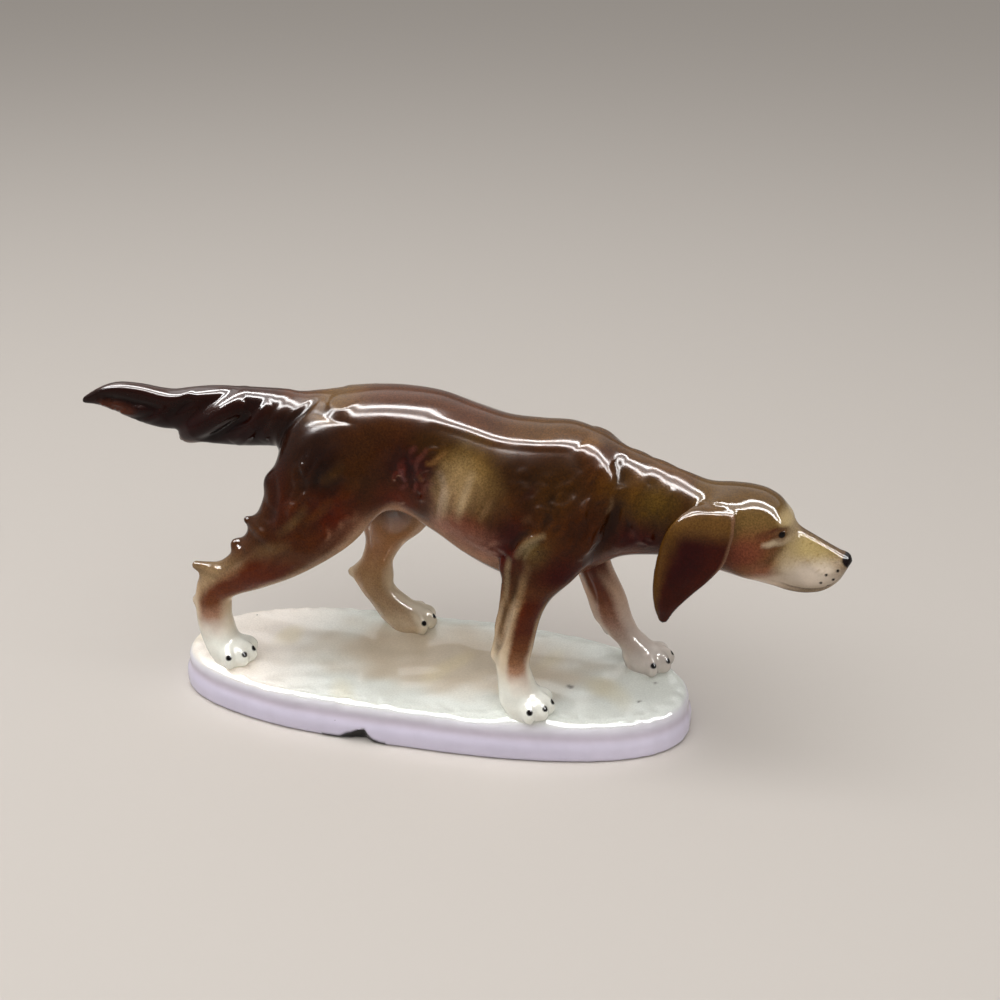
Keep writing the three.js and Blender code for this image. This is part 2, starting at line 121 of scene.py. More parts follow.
# Forms: each is a function of x, y, z that is about the distance to its skin, below 0 inside
def loftForm(rows, upright=False, roundLow=0.0, roundHigh=0.0, eggs=evenOvals):
    # rows of place, low edge, high edge, half width, middle across
    # eggs is how much narrower the ovals are on top, by place
    curve = curveThrough(rows)
    eggAt = curveThrough(eggs)
    first, last = rows[0][0], rows[-1][0]

    def form(x, y, z):
        s, edge = (z, x) if upright else (x, z)
        low, high, half, middle = np.moveaxis(curve(s), -1, 0)
        shrink = np.ones_like(low)
        if roundLow:
            shrink = shrink * np.sqrt(1 - (1 - np.clip((s - first) / roundLow, 0, 1)) ** 2)
        if roundHigh:
            shrink = shrink * np.sqrt(1 - (1 - np.clip((last - s) / roundHigh, 0, 1)) ** 2)
        half = np.maximum(half * shrink, 0.05)
        reach = np.maximum((high - low) / 2 * shrink, 0.05)
        up = (edge - (low + high) / 2) / reach
        half = half * (1 - eggAt(s)[..., 0] * np.clip(up, 0, 1) ** 2)
        across = (y - middle) / half
        q = np.hypot(across, up)
        steep = np.hypot(across / half, up / reach) / np.maximum(q, 1e-4)
        return np.maximum((q - 1) / np.maximum(steep, 1e-3), np.maximum(first - s, s - last))

    return form


def ballForm(middle, size, pitch=0.0, yaw=0.0):
    # an ellipsoid of full sizes, pitched nose up and then turned to the left in degrees
    a, b, c = (v / 2 for v in size)
    lean, turn = math.radians(pitch), math.radians(yaw)

    def form(x, y, z):
        ahead, aside, dz = x - middle[0], y - middle[1], z - middle[2]
        dx = ahead * math.cos(turn) + aside * math.sin(turn)
        dy = aside * math.cos(turn) - ahead * math.sin(turn)
        u = dx * math.cos(lean) + dz * math.sin(lean)
        w = dz * math.cos(lean) - dx * math.sin(lean)
        q = np.sqrt((u / a) ** 2 + (dy / b) ** 2 + (w / c) ** 2)
        steep = np.sqrt((u / a**2) ** 2 + (dy / b**2) ** 2 + (w / c**2) ** 2) / np.maximum(q, 1e-4)
        return (q - 1) / np.maximum(steep, 1e-3)

    return form


def lockForm(root, tip, thick, thin, flat=1.0):
    # a tapering lock of coat, flat times as thick across the dog as along it
    a, b = np.array(root, float), np.array(tip, float)
    run = b - a

    def form(x, y, z):
        dx, dy, dz = x - a[0], y - a[1], z - a[2]
        t = np.clip((dx * run[0] + dy * run[1] + dz * run[2]) / run.dot(run), 0, 1)
        gapY = (dy - t * run[1]) / flat
        gap = np.sqrt((dx - t * run[0]) ** 2 + gapY**2 + (dz - t * run[2]) ** 2)
        return (gap - (thick + (thin - thick) * t)) * min(flat, 1)

    return form


def eased(points, ends, share, where=None):
    # each point moved towards the middle of its neighbours
    degree = np.maximum(np.bincount(ends.ravel(), minlength=len(points)), 1)
    around = np.empty_like(points)
    for k in range(points.shape[1]):
        around[:, k] = np.bincount(ends[:, 0], points[ends[:, 1], k], len(points))
        around[:, k] += np.bincount(ends[:, 1], points[ends[:, 0], k], len(points))
    step = share * (around / degree[:, None] - points)
    return points + (step if where is None else step * where[:, None])


class Clay:
    # a block of samples that forms are added to, and the skin that is taken off it

    def __init__(self, low, high, cell):
        self.low = np.array(low, float)
        self.cell = cell
        count = np.ceil((np.array(high) - self.low) / cell).astype(int) + 1
        self.axes = [self.low[k] + cell * np.arange(count[k]) for k in range(3)]
        self.field = np.full(count, 20.0, np.float32)

    def block(self, low, high, reach):
        cut = []
        for k in range(3):
            cut.append(slice(*np.searchsorted(self.axes[k], (low[k] - reach, high[k] + reach))))
        return tuple(cut), *np.ix_(*(self.axes[k][cut[k]] for k in range(3)))

    def add(self, form, low, high, blend, softer=None):
        # softer is the z between which the blend grows to four times as much
        cut, x, y, z = self.block(low, high, blend * (4 if softer else 1) + 3 * self.cell)
        if softer:
            blend = blend * (1 + 3 * soft(z, *softer))
        self.field[cut] = -smoothMax(-self.field[cut], -form(x, y, z), blend)

    def carve(self, form, low, high, blend):
        cut, x, y, z = self.block(low, high, blend + 3 * self.cell)
        self.field[cut] = smoothMax(self.field[cut], -form(x, y, z), blend)

    def sample(self, points, values):
        at = np.clip((points - self.low) / self.cell, 0, np.array(values.shape) - 1.001)
        base = at.astype(int)
        t = at - base
        total = 0
        for corner in np.ndindex(2, 2, 2):
            weight = np.prod(np.where(corner, t, 1 - t), axis=1)
            i, j, k = (base + corner).T
            total = total + values[i, j, k] * weight
        return total

    def net(self):
        # a point in each cell that the skin passes through, and a face across each edge that it cuts
        inside = self.field < 0
        near = 0
        for i, j, k in np.ndindex(2, 2, 2):
            near = near + inside[i : i - 1 or None, j : j - 1 or None, k : k - 1 or None].astype(np.uint8)
        cells = np.argwhere((near > 0) & (near < 8))
        number = np.full(near.shape, -1, np.int32)
        number[tuple(cells.T)] = np.arange(len(cells))
        total, hits = np.zeros((len(cells), 3)), np.zeros(len(cells))
        for axis in range(3):
            for u, v in np.ndindex(2, 2):
                start = np.insert(np.array([u, v]), axis, 0)
                a = self.field[tuple((cells + start).T)]
                b = self.field[tuple((cells + start + np.eye(3, dtype=int)[axis]).T)]
                crossing = (a < 0) != (b < 0)
                point = np.tile(start.astype(float), (len(cells), 1))
                point[:, axis] = np.where(crossing, a / np.where(crossing, a - b, 1), 0)
                total += point * crossing[:, None]
                hits += crossing
        points = self.low + (cells + total / hits[:, None]) * self.cell
        quads = []
        for axis in range(3):
            flat = np.moveaxis(inside, axis, 0)
            turn = np.moveaxis(number, axis, 0)
            here, there = flat[:-1, 1:-1, 1:-1], flat[1:, 1:-1, 1:-1]
            for out, order in ((here & ~there, (0, 1, 2, 3)), (~here & there, (3, 2, 1, 0))):
                i, j, k = np.argwhere(out).T
                ring = [turn[i, j, k], turn[i, j + 1, k], turn[i, j + 1, k + 1], turn[i, j, k + 1]]
                order = order if axis != 1 else order[::-1]
                quads.append(np.column_stack([ring[n] for n in order]))
        return points, np.vstack(quads)

    def project(self, points):
        gap = self.sample(points, self.field)
        slope = np.column_stack([self.sample(points, s) for s in np.gradient(self.field, self.cell)])
        size = np.maximum((slope**2).sum(axis=1), 0.2)
        return points - slope * (gap / size)[:, None]

    def skin(self, rounds, share):
        # the net relaxed on the clay, and eased once more by that share
        points, quads = self.net()
        ends = np.vstack([quads[:, [k, (k + 1) % 4]] for k in range(4)])
        for _ in range(rounds):
            points = self.project(eased(points, ends, 0.5))
        return eased(points, ends, share), quads


# Trunk, neck and head are one form
spine = {
    "rows": [
        (-50, 71, 82, 5), (-46, 66, 85.4, 6.5), (-38, 58.2, 87.2, 10.5), (-28, 53, 89, 15.6),
        (-16, 53, 91.3, 15.5), (-6, 53, 92, 15), (4, 48.2, 91.5, 15.6), (14, 42.5, 89, 16.9),
        (24, 38.4, 87, 17.9), (34, 36.5, 87, 17.8), (44, 39, 87.5, 16.5), (52, 43.5, 85.5, 14.5),
        (60, 48.5, 82, 12), (68, 50.3, 79.5, 10.5), (76, 51, 77, 9.8), (84, 49.8, 74.6, 9.8),
        (90, 48.6, 75, 10.5), (96, 47.6, 75, 10.8), (101, 46.8, 74, 10), (104.5, 46.2, 71.8, 9.1),
        (107.6, 45.3, 67.4, 7.4), (110, 45, 64.2, 6.6), (114, 45.2, 62.2, 5.8), (119, 47.4, 59.8, 5.2),
        (122, 50.6, 58.8, 4.4), (124.5, 55, 58, 2.8),
    ],
    "eggs": [
        (-50, 0), (-40, 0), (-32, -0.05), (-24, -0.18), (-16, -0.25), (-4, -0.25), (8, -0.12), (20, 0),
        (34, -0.05), (48, 0), (56, 0.1), (64, 0.2), (74, 0.2), (82, -0.1), (92, -0.15), (104, -0.1),
        (109, 0.1), (113, 0.36), (125, 0.36),
    ],
    "round": (4.0, 2.5),  # of the rump and of the nose
    "box": ((-50, -18, 35), (125, 18, 93)),
    "blend": 1.0,
    # masses on each side: middle, full size, pitch in degrees, blend
    "masses": [
        ((43, 12.0, 57), (18, 11, 24), -18, 8),  # shoulder
        ((98.5, 6.2, 58), (16, 8, 13), 0, 4),       # cheek
        ((102.5, 4.4, 66.8), (9, 5, 4.2), -8, 2.6), # brow
        ((85.5, 7.8, 62.5), (15, 8, 11), 0, 3),     # root of the ear
    ],
    "hollows": [
        ((-1, 21.5, 64), (13, 13, 26), 0, 6),  # flank
        ((59.5, 17, 66), (7, 11, 26), 12, 5),       # between shoulder and neck
        ((109.4, 9.4, 60.5), (11, 5, 8), -35, 4),   # under the eye
    ],
}
bridge = {
    "root": (108.8, 0, 62.1), "tip": (121.2, 0, 56.9), "thick": 2.9, "thin": 2.2,
    "box": ((105, -4, 54), (124, 4, 66)), "blend": 1.0,
}
nose = {"middle": (122.7, 0, 57.0), "size": (3.8, 5.0, 3.6), "pitch": -20, "blend": 0.9}
eye = {"middle": (105.3, 5.9, 64.9), "size": (2.4, 2.4, 2.4), "blend": 0.9, "room": 2}

tail = {
    "rows": [
        (-117, 74.1, 76, 1), (-111, 74.2, 79.8, 2), (-104.3, 72.5, 82.6, 2.6), (-96.2, 70.2, 83.2, 3),
        (-88.2, 69.2, 82.7, 3.5), (-83.5, 69.4, 82.8, 3.8), (-78.1, 69, 84, 4.2),
        (-70.1, 69, 85.5, 4.6), (-60, 69.5, 86.3, 5.2), (-50, 70, 86.9, 6), (-40, 71, 87.3, 7),
    ],
    "round": (1, 8),
    "box": ((-117, -7, 64), (-42, 7, 88)),
    "blend": 3.0,
}
flag = {  # the flap of feather that ends in a point under the tail
    "rows": [
        (-83.4, 65.6, 67.2, 0.6), (-81.5, 65.6, 71.5, 1.8), (-78, 66, 76, 3), (-70, 66.4, 80, 4.4),
        (-60, 67.1, 83, 5.2), (-50, 68.4, 84, 6), (-42, 68.7, 84, 6.5),
    ],
    "round": (0.8, 8),
    "box": ((-84, -7, 64), (-42, 7, 86)),
    "blend": 1.2,
}

shoulderRows = [(53, 30, 51.5, 7.2, 12.9), (63, 30, 53, 7, 11.2), (73, 34, 52, 5, 9.5)]
hipRows = [(71, -43, -10, 8.6, 9.5), (84.4, -38, -9, 6.4, 7.4)]
# rows of height, behind, ahead, half width and, where it isn't over the paw, middle across
# locks of root and tip in side view, thick, thin and middle across
legs = {
    "foreleg_right": {
        "side": -1, "paw": 36.3, "stripe": (0.71, 0.16, 0.36), "blend": 4.0, "dome": 6,
        "rows": [
            (-1.5, 30.2, 41, 5), (0.3, 30, 41.5, 5.2), (3, 28.5, 42.4, 5.8), (7, 28.1, 40.8, 5.4),
            (11, 27.7, 38.9, 4.9), (15, 27.3, 37.5, 4.7), (23, 28, 38.4, 4.9),
            (39, 29.9, 43.3, 6.2, 15), (45, 30.4, 48.4, 6.8, 14.2), *shoulderRows,
        ],
        "locks": [
            ((30.2, 29), (27.2, 18.4), 2.6, 1.9, 18), ((31, 47), (29.2, 28), 2.1, 2.1, 17.2),
            ((32.5, 51), (30, 47.5), 2.6, 2.2, 16.4),
        ],
    },
    "foreleg_left": {
        "side": 1, "paw": 65.0, "stripe": (0.5, 0.16, 0.42), "blend": 4.0, "dome": 6, "brown": (27, 39),
        "rows": [
            (-1.5, 58.8, 69.6, 5), (0.3, 58.6, 70.1, 5.2), (3, 57.6, 70.8, 5.8), (6, 57, 68.4, 5.4),
            (9, 55, 65.5, 5.2), (11, 52.4, 63.2, 5), (15, 49.4, 60.8, 4.7), (23, 46.2, 58, 4.9),
            (39, 40.4, 52.5, 6.2, 15), (45, 37, 52.5, 6.8, 14.2), *shoulderRows,
        ],
        "locks": [((50, 20), (52.6, 11), 2.2, 1.6, 18), ((42.4, 37), (50.4, 17), 2.0, 2.1, 17)],
    },
    "hindleg_right": {
        "side": -1, "paw": -62.0, "stripe": (0.56, 0.16, 0.48), "blend": 7.0, "dome": 15,
        "rows": [
            (-1.5, -67.2, -57, 5), (0.3, -67.5, -56.5, 5.2), (3, -69, -55.8, 5.8),
            (7, -70.6, -58.4, 5.4), (12, -71.9, -60, 5), (18, -72.2, -60.5, 4.6), (24, -71.6, -58, 4.8),
            (29, -69.7, -47, 5.2), (34, -63.4, -37.3, 5.8), (40, -57.4, -27.6, 6.6, 16.5),
            (47, -52.8, -18.8, 7.6, 15), (55, -49, -12.7, 8.6, 13), (63, -47, -9, 9, 11), *hipRows,
        ],
        "locks": [
            ((-61, 29.6), (-71, 32.2), 5.2, 1.5, 18), ((-66.5, 20.6), (-72.2, 19.8), 3.6, 1.3, 18),
            ((-44, 46.6), (-53.4, 49.2), 6.0, 1.3, 15), ((-50, 38.6), (-56.4, 41), 4.8, 2.4, 17),
            ((-42, 60), (-44.6, 61.6), 4.4, 3.4, 12),
        ],
    },
    "hindleg_left": {
        "side": 1, "paw": -14.5, "stripe": (0.5, 0.3, 0.55), "blend": 7.0, "dome": 15, "turn": 26,
        "rows": [
            (-1.5, -20.6, -9.4, 5), (0.3, -21, -9, 5.2), (3, -24.5, -7, 5.6), (5.4, -26.5, -9, 5.2),
            (8, -28.3, -12.4, 5), (12, -31.3, -18.5, 5), (18, -33.7, -21, 4.8), (24, -30.7, -19.9, 4.6),
            (31, -29, -15.5, 5.2), (37, -29.5, -9.2, 6, 16.5), (43, -31.5, -5, 7, 15.5),
            (51, -36, -3, 8, 13.5), (59, -40, -4, 8.6, 11.5), *hipRows,
        ],
        "locks": [
            ((-26, 18.6), (-34.4, 17.4), 5.4, 1.7, 18), ((-31, 46), (-36.4, 44.8), 4.2, 1.8, 14.6),
            ((-33, 59.4), (-41.4, 57.2), 4.8, 1.5, 11.6),
        ],
    },
}
feather = {"flat": 0.85, "blend": 2.2}  # how all the locks are laid on
toes = {
    "size": (9.6, 4.7, 7.4), "pitch": -14, "blend": 2.0,
    "ahead": 0.2, "reach": 4.2, "height": 3.5,              # of the toes' middles
    "tip": 7.9, "claw": 4.9, "outer": 40, "outerDrop": 1.4, # of the claws; the outer one is lower
    # they fan out from the paw's middle: degrees from straight ahead on the right and left legs
    "fan": {-1: (-66, -29, 3, 46), 1: (-62, -20, 18, 54)},
}
ears = {
    # rows of height, behind, ahead, half thickness, middle across
    "rows": [
        (34, 74, 76, 0.8, 10.9), (39.2, 72.4, 78.6, 1.6, 11.7), (44, 71.7, 82.2, 2, 12),
        (50.3, 71.8, 87.4, 2.2, 12.2), (56.2, 72.6, 91.3, 2.3, 12.3), (62.1, 74, 92.8, 2.3, 12.35),
        (65.5, 75.6, 93.3, 2.4, 12.1), (68, 77.4, 93.2, 2.4, 11.7), (70, 79.4, 92.8, 2.4, 10.9),
        (71.5, 81.6, 92, 2.4, 9.6), (72.3, 83.8, 91, 2.4, 8.2),
    ],
    "round": (0.8, 1.0),
    "box": ((71, 4, 33), (94, 15, 74)),
    "blend": 0.6,
    "softer": (66, 76),
    "sides": {"ear_right": -1, "ear_left": 1},
    "drop": 2.4,           # the head is tilted, so the left ear is set lower
    "dropFrom": (60, 70),  # it grows between these heights
    "shelf": {"middle": (89.5, 6.6, 69.4), "size": (10, 9, 7.6), "blend": 3.5},  # that the ear hangs from
}

clay = Clay((-120, -28, -3), (128, 28, 95), stance["cell"])


def addLoft(part):
    form = loftForm(withMiddle(part["rows"], 0), False, *part["round"], part.get("eggs", evenOvals))
    clay.add(form, *part["box"], part["blend"])


def onBothSides(put, middle, size, blend, pitch=0.0, room=0.0, drop=0.0):
    # a ball on the right and on the left of the dog, the left one that much lower
    reach = room or max(size) / 2
    for side in (-1, 1):
        at = np.array([middle[0], middle[1] * side, middle[2] - drop * (side > 0)])
        put(ballForm(at, size, pitch), at - reach, at + reach, blend)


def toeSpots(leg, out):
    # the angle, x and y of each toe, that far out from the paw's middle
    spots = []
    pawX, pawY = leg["paw"] + toes["ahead"], stance["track"] * leg["side"]
    for angle in np.array(toes["fan"][leg["side"]]) + leg.get("turn", 0):
        lean = math.radians(angle)
        spots.append((angle, pawX + out * math.cos(lean), pawY + out * math.sin(lean)))
    return spots


addLoft(spine)
for middle, size, pitch, blend in spine["masses"]:
    onBothSides(clay.add, middle, size, blend, pitch)
onBothSides(clay.add, **ears["shelf"], drop=ears["drop"])
addLoft(tail)
addLoft(flag)
for leg in legs.values():
    side = leg["side"]
    rows = [(z, a, b, h, side * m) for z, a, b, h, m in withMiddle(leg["rows"], stance["track"])]
    low = (min(r[1] for r in rows), min(r[4] - r[3] for r in rows), rows[0][0])
    high = (max(r[2] for r in rows), max(r[4] + r[3] for r in rows), rows[-1][0])
    clay.add(loftForm(rows, upright=True, roundHigh=leg["dome"]), low, high, leg["blend"])
for leg in legs.values():
    side = leg["side"]
    for (ax, az), (bx, bz), thick, thin, across in leg["locks"]:
        root, tip = np.array([ax, across * side, az]), np.array([bx, across * side, bz])
        low, high = np.minimum(root, tip) - thick, np.maximum(root, tip) + thick
        clay.add(lockForm(root, tip, thick, thin, feather["flat"]), low, high, feather["blend"])
    for angle, toeX, toeY in toeSpots(leg, toes["reach"]):
        at, half = np.array([toeX, toeY, toes["height"]]), toes["size"][0] / 2
        clay.add(ballForm(at, toes["size"], toes["pitch"], angle), at - half, at + half, toes["blend"])
for middle, size, pitch, blend in spine["hollows"]:
    onBothSides(clay.carve, middle, size, blend, pitch)
ridge = lockForm(bridge["root"], bridge["tip"], bridge["thick"], bridge["thin"])
clay.add(ridge, *bridge["box"], bridge["blend"])
middle, half = np.array(nose["middle"]), np.array(nose["size"]) / 2
clay.add(ballForm(middle, nose["size"], nose["pitch"]), middle - half, middle + half, nose["blend"])
onBothSides(clay.add, **eye)
bare = clay.field.copy()  # the dog before its ears
earForms = {}
for name, side in ears["sides"].items():
    drop = ears["drop"] * (side > 0)
    rows = [(z - drop * soft(z, *ears["dropFrom"]), a, b, h, side * m) for z, a, b, h, m in ears["rows"]]
    earForms[name] = loftForm(rows, True, *ears["round"])
    low, high = np.array(ears["box"])
    low[1], high[1] = sorted((side * low[1], side * high[1]))
    clay.add(earForms[name], low, high, ears["blend"], ears["softer"])
points, quads = clay.skin(4, 0.3)
print("skin taken off the clay:", len(points), "points")

# Seams between the castings: axis, place, and the box of dog that each cuts
seams = {
    "tail": (0, -50.0, (-53, -20, 62), (-47, 20, 95)),
    "head": (0, 81.0, (78, -20, 40), (84, 20, 90)),
    "foreleg": (2, 35.0, (12, -30, 32), (75, 30, 38)),
    "hindleg": (2, 45.0, (-75, -30, 42), (10, 30, 48)),
}
fineBoxes = [  # where the net is twice as fine: face, paws, flank
    ((93, -20, 40), (130, 20, 80)), ((-80, -30, -1), (80, 30, 9)), ((-8, -20, 55), (14, 20, 84)),
]


def facesIn(bm, boxes):
    chosen = []
    for face in bm.faces:
        c = face.calc_center_median()
        if any(all(low[k] < c[k] < high[k] for k in range(3)) for low, high in boxes):
            chosen.append(face)
    return chosen


def partsOf(faces, kind):
    return list(dict.fromkeys(part for face in faces for part in getattr(face, kind)))


work = bpy.data.meshes.new("work")
work.from_pydata(points.tolist(), [], quads.tolist())
bm = bmesh.new()
bm.from_mesh(work)
for axis, place, low, high in seams.values():
    faces = facesIn(bm, [(low, high)])
    geom = partsOf(faces, "verts") + partsOf(faces, "edges") + faces
    along = Vector(np.eye(3)[axis])
    bmesh.ops.bisect_plane(bm, geom=geom, dist=0.02, plane_co=along * place, plane_no=along)
edges = partsOf(facesIn(bm, fineBoxes), "edges")
bmesh.ops.subdivide_edges(bm, edges=edges, cuts=1, use_grid_fill=True)
bm.to_mesh(work)
bm.free()


def pull(collection, key, width, kind=float):
    out = np.empty(len(collection) * width, kind)
    collection.foreach_get(key, out)
    return out.reshape(-1, width) if width > 1 else out


def settled(points):
    # puts the skin's points in place and gives their normals
    work.vertices.foreach_set("co", points.ravel())
    work.update()
    return pull(work.vertex_normals, "vector", 3)


co = pull(work.vertices, "co", 3)
ends = pull(work.edges, "vertices", 2, np.int32)
fine = np.zeros(len(co))
for low, high in fineBoxes:
    fine = np.maximum(fine, np.all((co > low) & (co < high), axis=1))
for _ in range(2):
    co = co + (clay.project(eased(co, ends, 0.5)) - co) * fine[:, None]
co = eased(co, ends, 0.3, fine)
normal = settled(co)
print("net made:", len(co), "points")

# Sculpting: strokes in side view raise or sink the skin along its normal
lift = np.zeros(len(co))


def brush(path, width, sides, taper):
    # how much of a brush mark along a path in side view reaches each point of the skin
    reach = np.zeros(len(co))
    curve = curveThrough([(k, *p) for k, p in enumerate(path)])
    line = curve(np.linspace(0, len(path) - 1, 6 * (len(path) - 1) + 1))
    share = np.append(0, np.cumsum(np.hypot(*np.diff(line, axis=0).T)))
    share /= share[-1]
    low, high = line.min(axis=0) - width, line.max(axis=0) + width
    inside = (co[:, 0] > low[0]) & (co[:, 0] < high[0]) & (co[:, 2] > low[1]) & (co[:, 2] < high[1])
    for side in sides:
        near = np.flatnonzero(inside & (co[:, 1] * side > 0) & (normal[:, 1] * side > 0.02))
        spot = co[near][:, [0, 2]]
        best, along = np.full(len(near), 9.0), np.zeros(len(near))
        for a, b, s, e in zip(line[:-1], line[1:], share[:-1], share[1:]):
            run = b - a
            t = np.clip((spot - a) @ run / max(run @ run, 1e-9), 0, 1)
            gap = np.linalg.norm(spot - a - t[:, None] * run, axis=1) / width
            along = np.where(gap < best, s + t * (e - s), along)
            best = np.minimum(gap, best)
        bell = np.clip(1 - best**2, 0, None) ** 2
        bell *= np.sqrt(np.clip(np.minimum(along, 1 - along) * taper, 0, 1))
        reach[near] = bell * soft(normal[near, 1] * side, 0.14, 0.52)
    return reach


def stroke(path, width, height, sides, taper=4.0):
    global lift
    lift += height * brush(path, width, sides, taper)


def hair(middle, reach, leans, count, long, width, height, seed):
    # short wavy strokes of coat over an oval patch, leaning from one angle at its rear to another ahead
    for side in (-1, 1):
        rng = np.random.default_rng(seed + side)
        for n in range(count):
            u, v = rng.uniform(-1, 1, 2)
            u, v = u * math.sqrt(1 - v * v / 2), v * math.sqrt(1 - u * u / 2)
            lean = math.radians(leans[0] + (leans[1] - leans[0]) * (u + 1) / 2 + rng.normal(0, 7))
            along, across = (math.cos(lean), math.sin(lean)), (-math.sin(lean), math.cos(lean))
            size, bow = long * rng.uniform(0.7, 1.3), rng.uniform(-0.18, 0.18) * long
            at = (middle[0] + u * reach[0], middle[1] + v * reach[1])
            path = []
            for t in (-0.5, -0.17, 0.17, 0.5):
                bend = bow * math.sin(2.2 * math.pi * t)
                path.append(tuple(at[k] + along[k] * size * t + across[k] * bend for k in (0, 1)))
            sign = 1 if n % 3 else -1
            stroke(path, width * rng.uniform(0.8, 1.25), sign * height * rng.uniform(0.6, 1.2), (side,), 3)


modelling = {
    # path in side view, half width, height
    "haunch": [
        ([(-32, 88), (-36, 84.2), (-40, 80.6), (-43.4, 76), (-44.6, 71)], 1.8, -0.6),
        ([(-26, 79), (-30.6, 75.6), (-33.4, 70)], 3.4, -0.16),
        ([(-19, 78), (-23.4, 75), (-27, 70)], 3.4, 0.25),
        ([(-20, 76), (-24, 68), (-30, 58), (-38, 48)], 4.5, -0.35),
        ([(-14, 72), (-18, 62), (-25, 52), (-34, 43)], 4.0, 0.4),
        ([(-43, 66), (-42, 58), (-44, 52)], 3.0, -0.35),
        ([(-52.6, 49.4), (-48, 49), (-43, 47.4)], 2.2, 0.3),
        ([(-52, 46.4), (-47, 45.4), (-42, 43.4)], 2.2, -0.3),
        ([(-47, 58), (-44, 55.4), (-40.6, 54)], 2.2, -0.2),
        ([(-39, 57), (-43, 50), (-50, 44)], 2.6, 0.3),
        ([(-40, 52), (-47, 45), (-56, 37), (-64, 31)], 2.4, -0.3),
        ([(-45, 42), (-53, 36), (-61, 30), (-66, 25)], 2.8, 0.2),
    ],
    "ribs": [
        ([(8 + k, 57.5 - 0.2 * k), (9.4 + k, 63), (11.4 + k, 68.6), (14.2 + k, 74)], 1.7, 0.28)
        for k in (0, 4.1, 7.0, 11.2, 14.0, 17.6)
    ],
    "shoulder": [
        ([(4, 87.8), (14, 85.9), (24, 83.8), (34, 83.8), (44, 84.4), (50, 83.2)], 2.0, 0.36),
        ([(49, 85), (53, 81), (56.4, 76), (57.4, 70)], 4.2, 1.1),
        ([(62, 74), (60.6, 69), (58.6, 62), (55.5, 55), (52, 50)], 3.2, -0.55),
        ([(58.5, 74), (57, 68), (54.5, 60), (51, 53)], 2.6, 0.45),
        ([(38, 78), (36, 70), (36.5, 62)], 3.5, -0.35),
        ([(42, 61.2), (38, 59.4), (34.6, 56), (32.4, 51.5)], 1.5, 0.75),
        ([(38, 61.6), (33.6, 58), (31, 53)], 1.7, -0.6),
        ([(43, 59.4), (39, 57.6), (36, 54.2), (34.6, 50)], 0.8, -0.35),
        ([(43, 57.6), (39.6, 55.6), (37.2, 52), (36.4, 48)], 0.8, 0.3),
        ([(24, 53), (28, 52), (32, 50)], 1.3, -0.2),
        ([(25, 50), (29, 49.4), (32, 47.4)], 1.2, 0.15),
    ],
    "neck": [
        ([(57.6, 80.4), (60, 78), (60.8, 73.6)], 2.8, -0.6),
        ([(61, 80.4), (64.4, 77.8), (65, 74), (63.4, 69.6)], 3.4, 0.45),
        ([(67.6, 79), (71.4, 76), (71.2, 72), (68.4, 68)], 3.4, 0.4),
        ([(66, 66), (67.4, 62), (66.6, 57)], 1.4, 0.35),
        ([(70.4, 67), (71.4, 62), (70.6, 57)], 1.6, -0.35),
        ([(62.5, 66), (63.4, 61), (62, 56)], 1.2, -0.3),
    ],
    "ear": [
        ([(87, 64), (83.5, 55), (78.4, 43)], 5.4, -0.5),
        ([(77, 63), (75.4, 57), (74.6, 46), (75, 38)], 3.0, 0.4),
        ([(86, 60), (82, 52), (78, 45)], 1.2, 0.25),
    ],
    "face": [
        ([(100.4, 64.2), (103, 65.8), (105.6, 66.4), (107.6, 66.2)], 0.9, -0.24),
        ([(100.4, 62.4), (103.2, 62.6), (106, 62.8), (108, 63.6)], 1.3, 0.16),
        ([(107, 61.4), (104.4, 58.6), (100.6, 55)], 2.0, -0.3),
        ([(122.6, 52.6), (119.4, 49.4), (114.6, 47.9), (109.4, 48.4), (105.5, 50.2)], 0.7, -0.5),
        ([(121.4, 55.4), (118, 54.6), (114, 56.4)], 1.6, 0.25),
    ],
    "tail": [
        ([(-113, 79), (-104, 81), (-95, 81.4), (-85, 80.6), (-77, 82), (-66, 84)], 2.0, 0.5),
        ([(-110, 77.2), (-103, 78), (-95, 77.6), (-86, 77)], 1.7, -0.7),
        ([(-57, 83.6), (-65, 78.4), (-71.6, 74), (-77.4, 70), (-82, 67.4)], 4.8, 2.2),
        ([(-55, 80.6), (-61.6, 75.6), (-68, 71), (-74, 68)], 2.4, -1.1),
        ([(-74, 83), (-80, 78.4), (-86, 74)], 2.4, -0.6),
        ([(-48, 84), (-53, 77.6), (-58.6, 71.6), (-63, 68.6)], 2.8, 1.0),
        ([(-41, 85), (-44.8, 81.4), (-48.4, 76.4), (-52, 71)], 2.4, 0.4),
        ([(-84, 77), (-90, 73.6), (-95, 71)], 1.6, 0.4),
        ([(-92, 77), (-98, 74), (-103, 73)], 1.4, 0.35),
        ([(-88, 76.4), (-94, 73), (-99, 71.4)], 1.2, -0.35),
        ([(-54, 76), (-59, 71), (-63, 68.4)], 1.4, -0.4),
    ],
}
nearOnly = {
    "foreleg_right": [
        ([(34.2, 47), (33, 40), (31.8, 32), (30, 25), (27.8, 20)], 0.95, -0.75),
        ([(31.6, 45), (30.4, 40), (31, 35), (29.4, 30)], 0.7, -0.35),
        ([(37, 44), (36, 36), (34.4, 28)], 1.6, 0.3),
    ],
    "hindleg_right": [
        ([(-52, 41), (-55, 42.6), (-57, 41.4)], 1.1, -0.35),
        ([(-61, 34), (-66, 34), (-71, 33.4)], 0.9, 0.35),
        ([(-60, 31.4), (-66, 31.4), (-70.6, 31)], 1.3, -0.3),
        ([(-66, 28), (-67.6, 22), (-67.8, 15)], 1.1, -0.3),
    ],
}
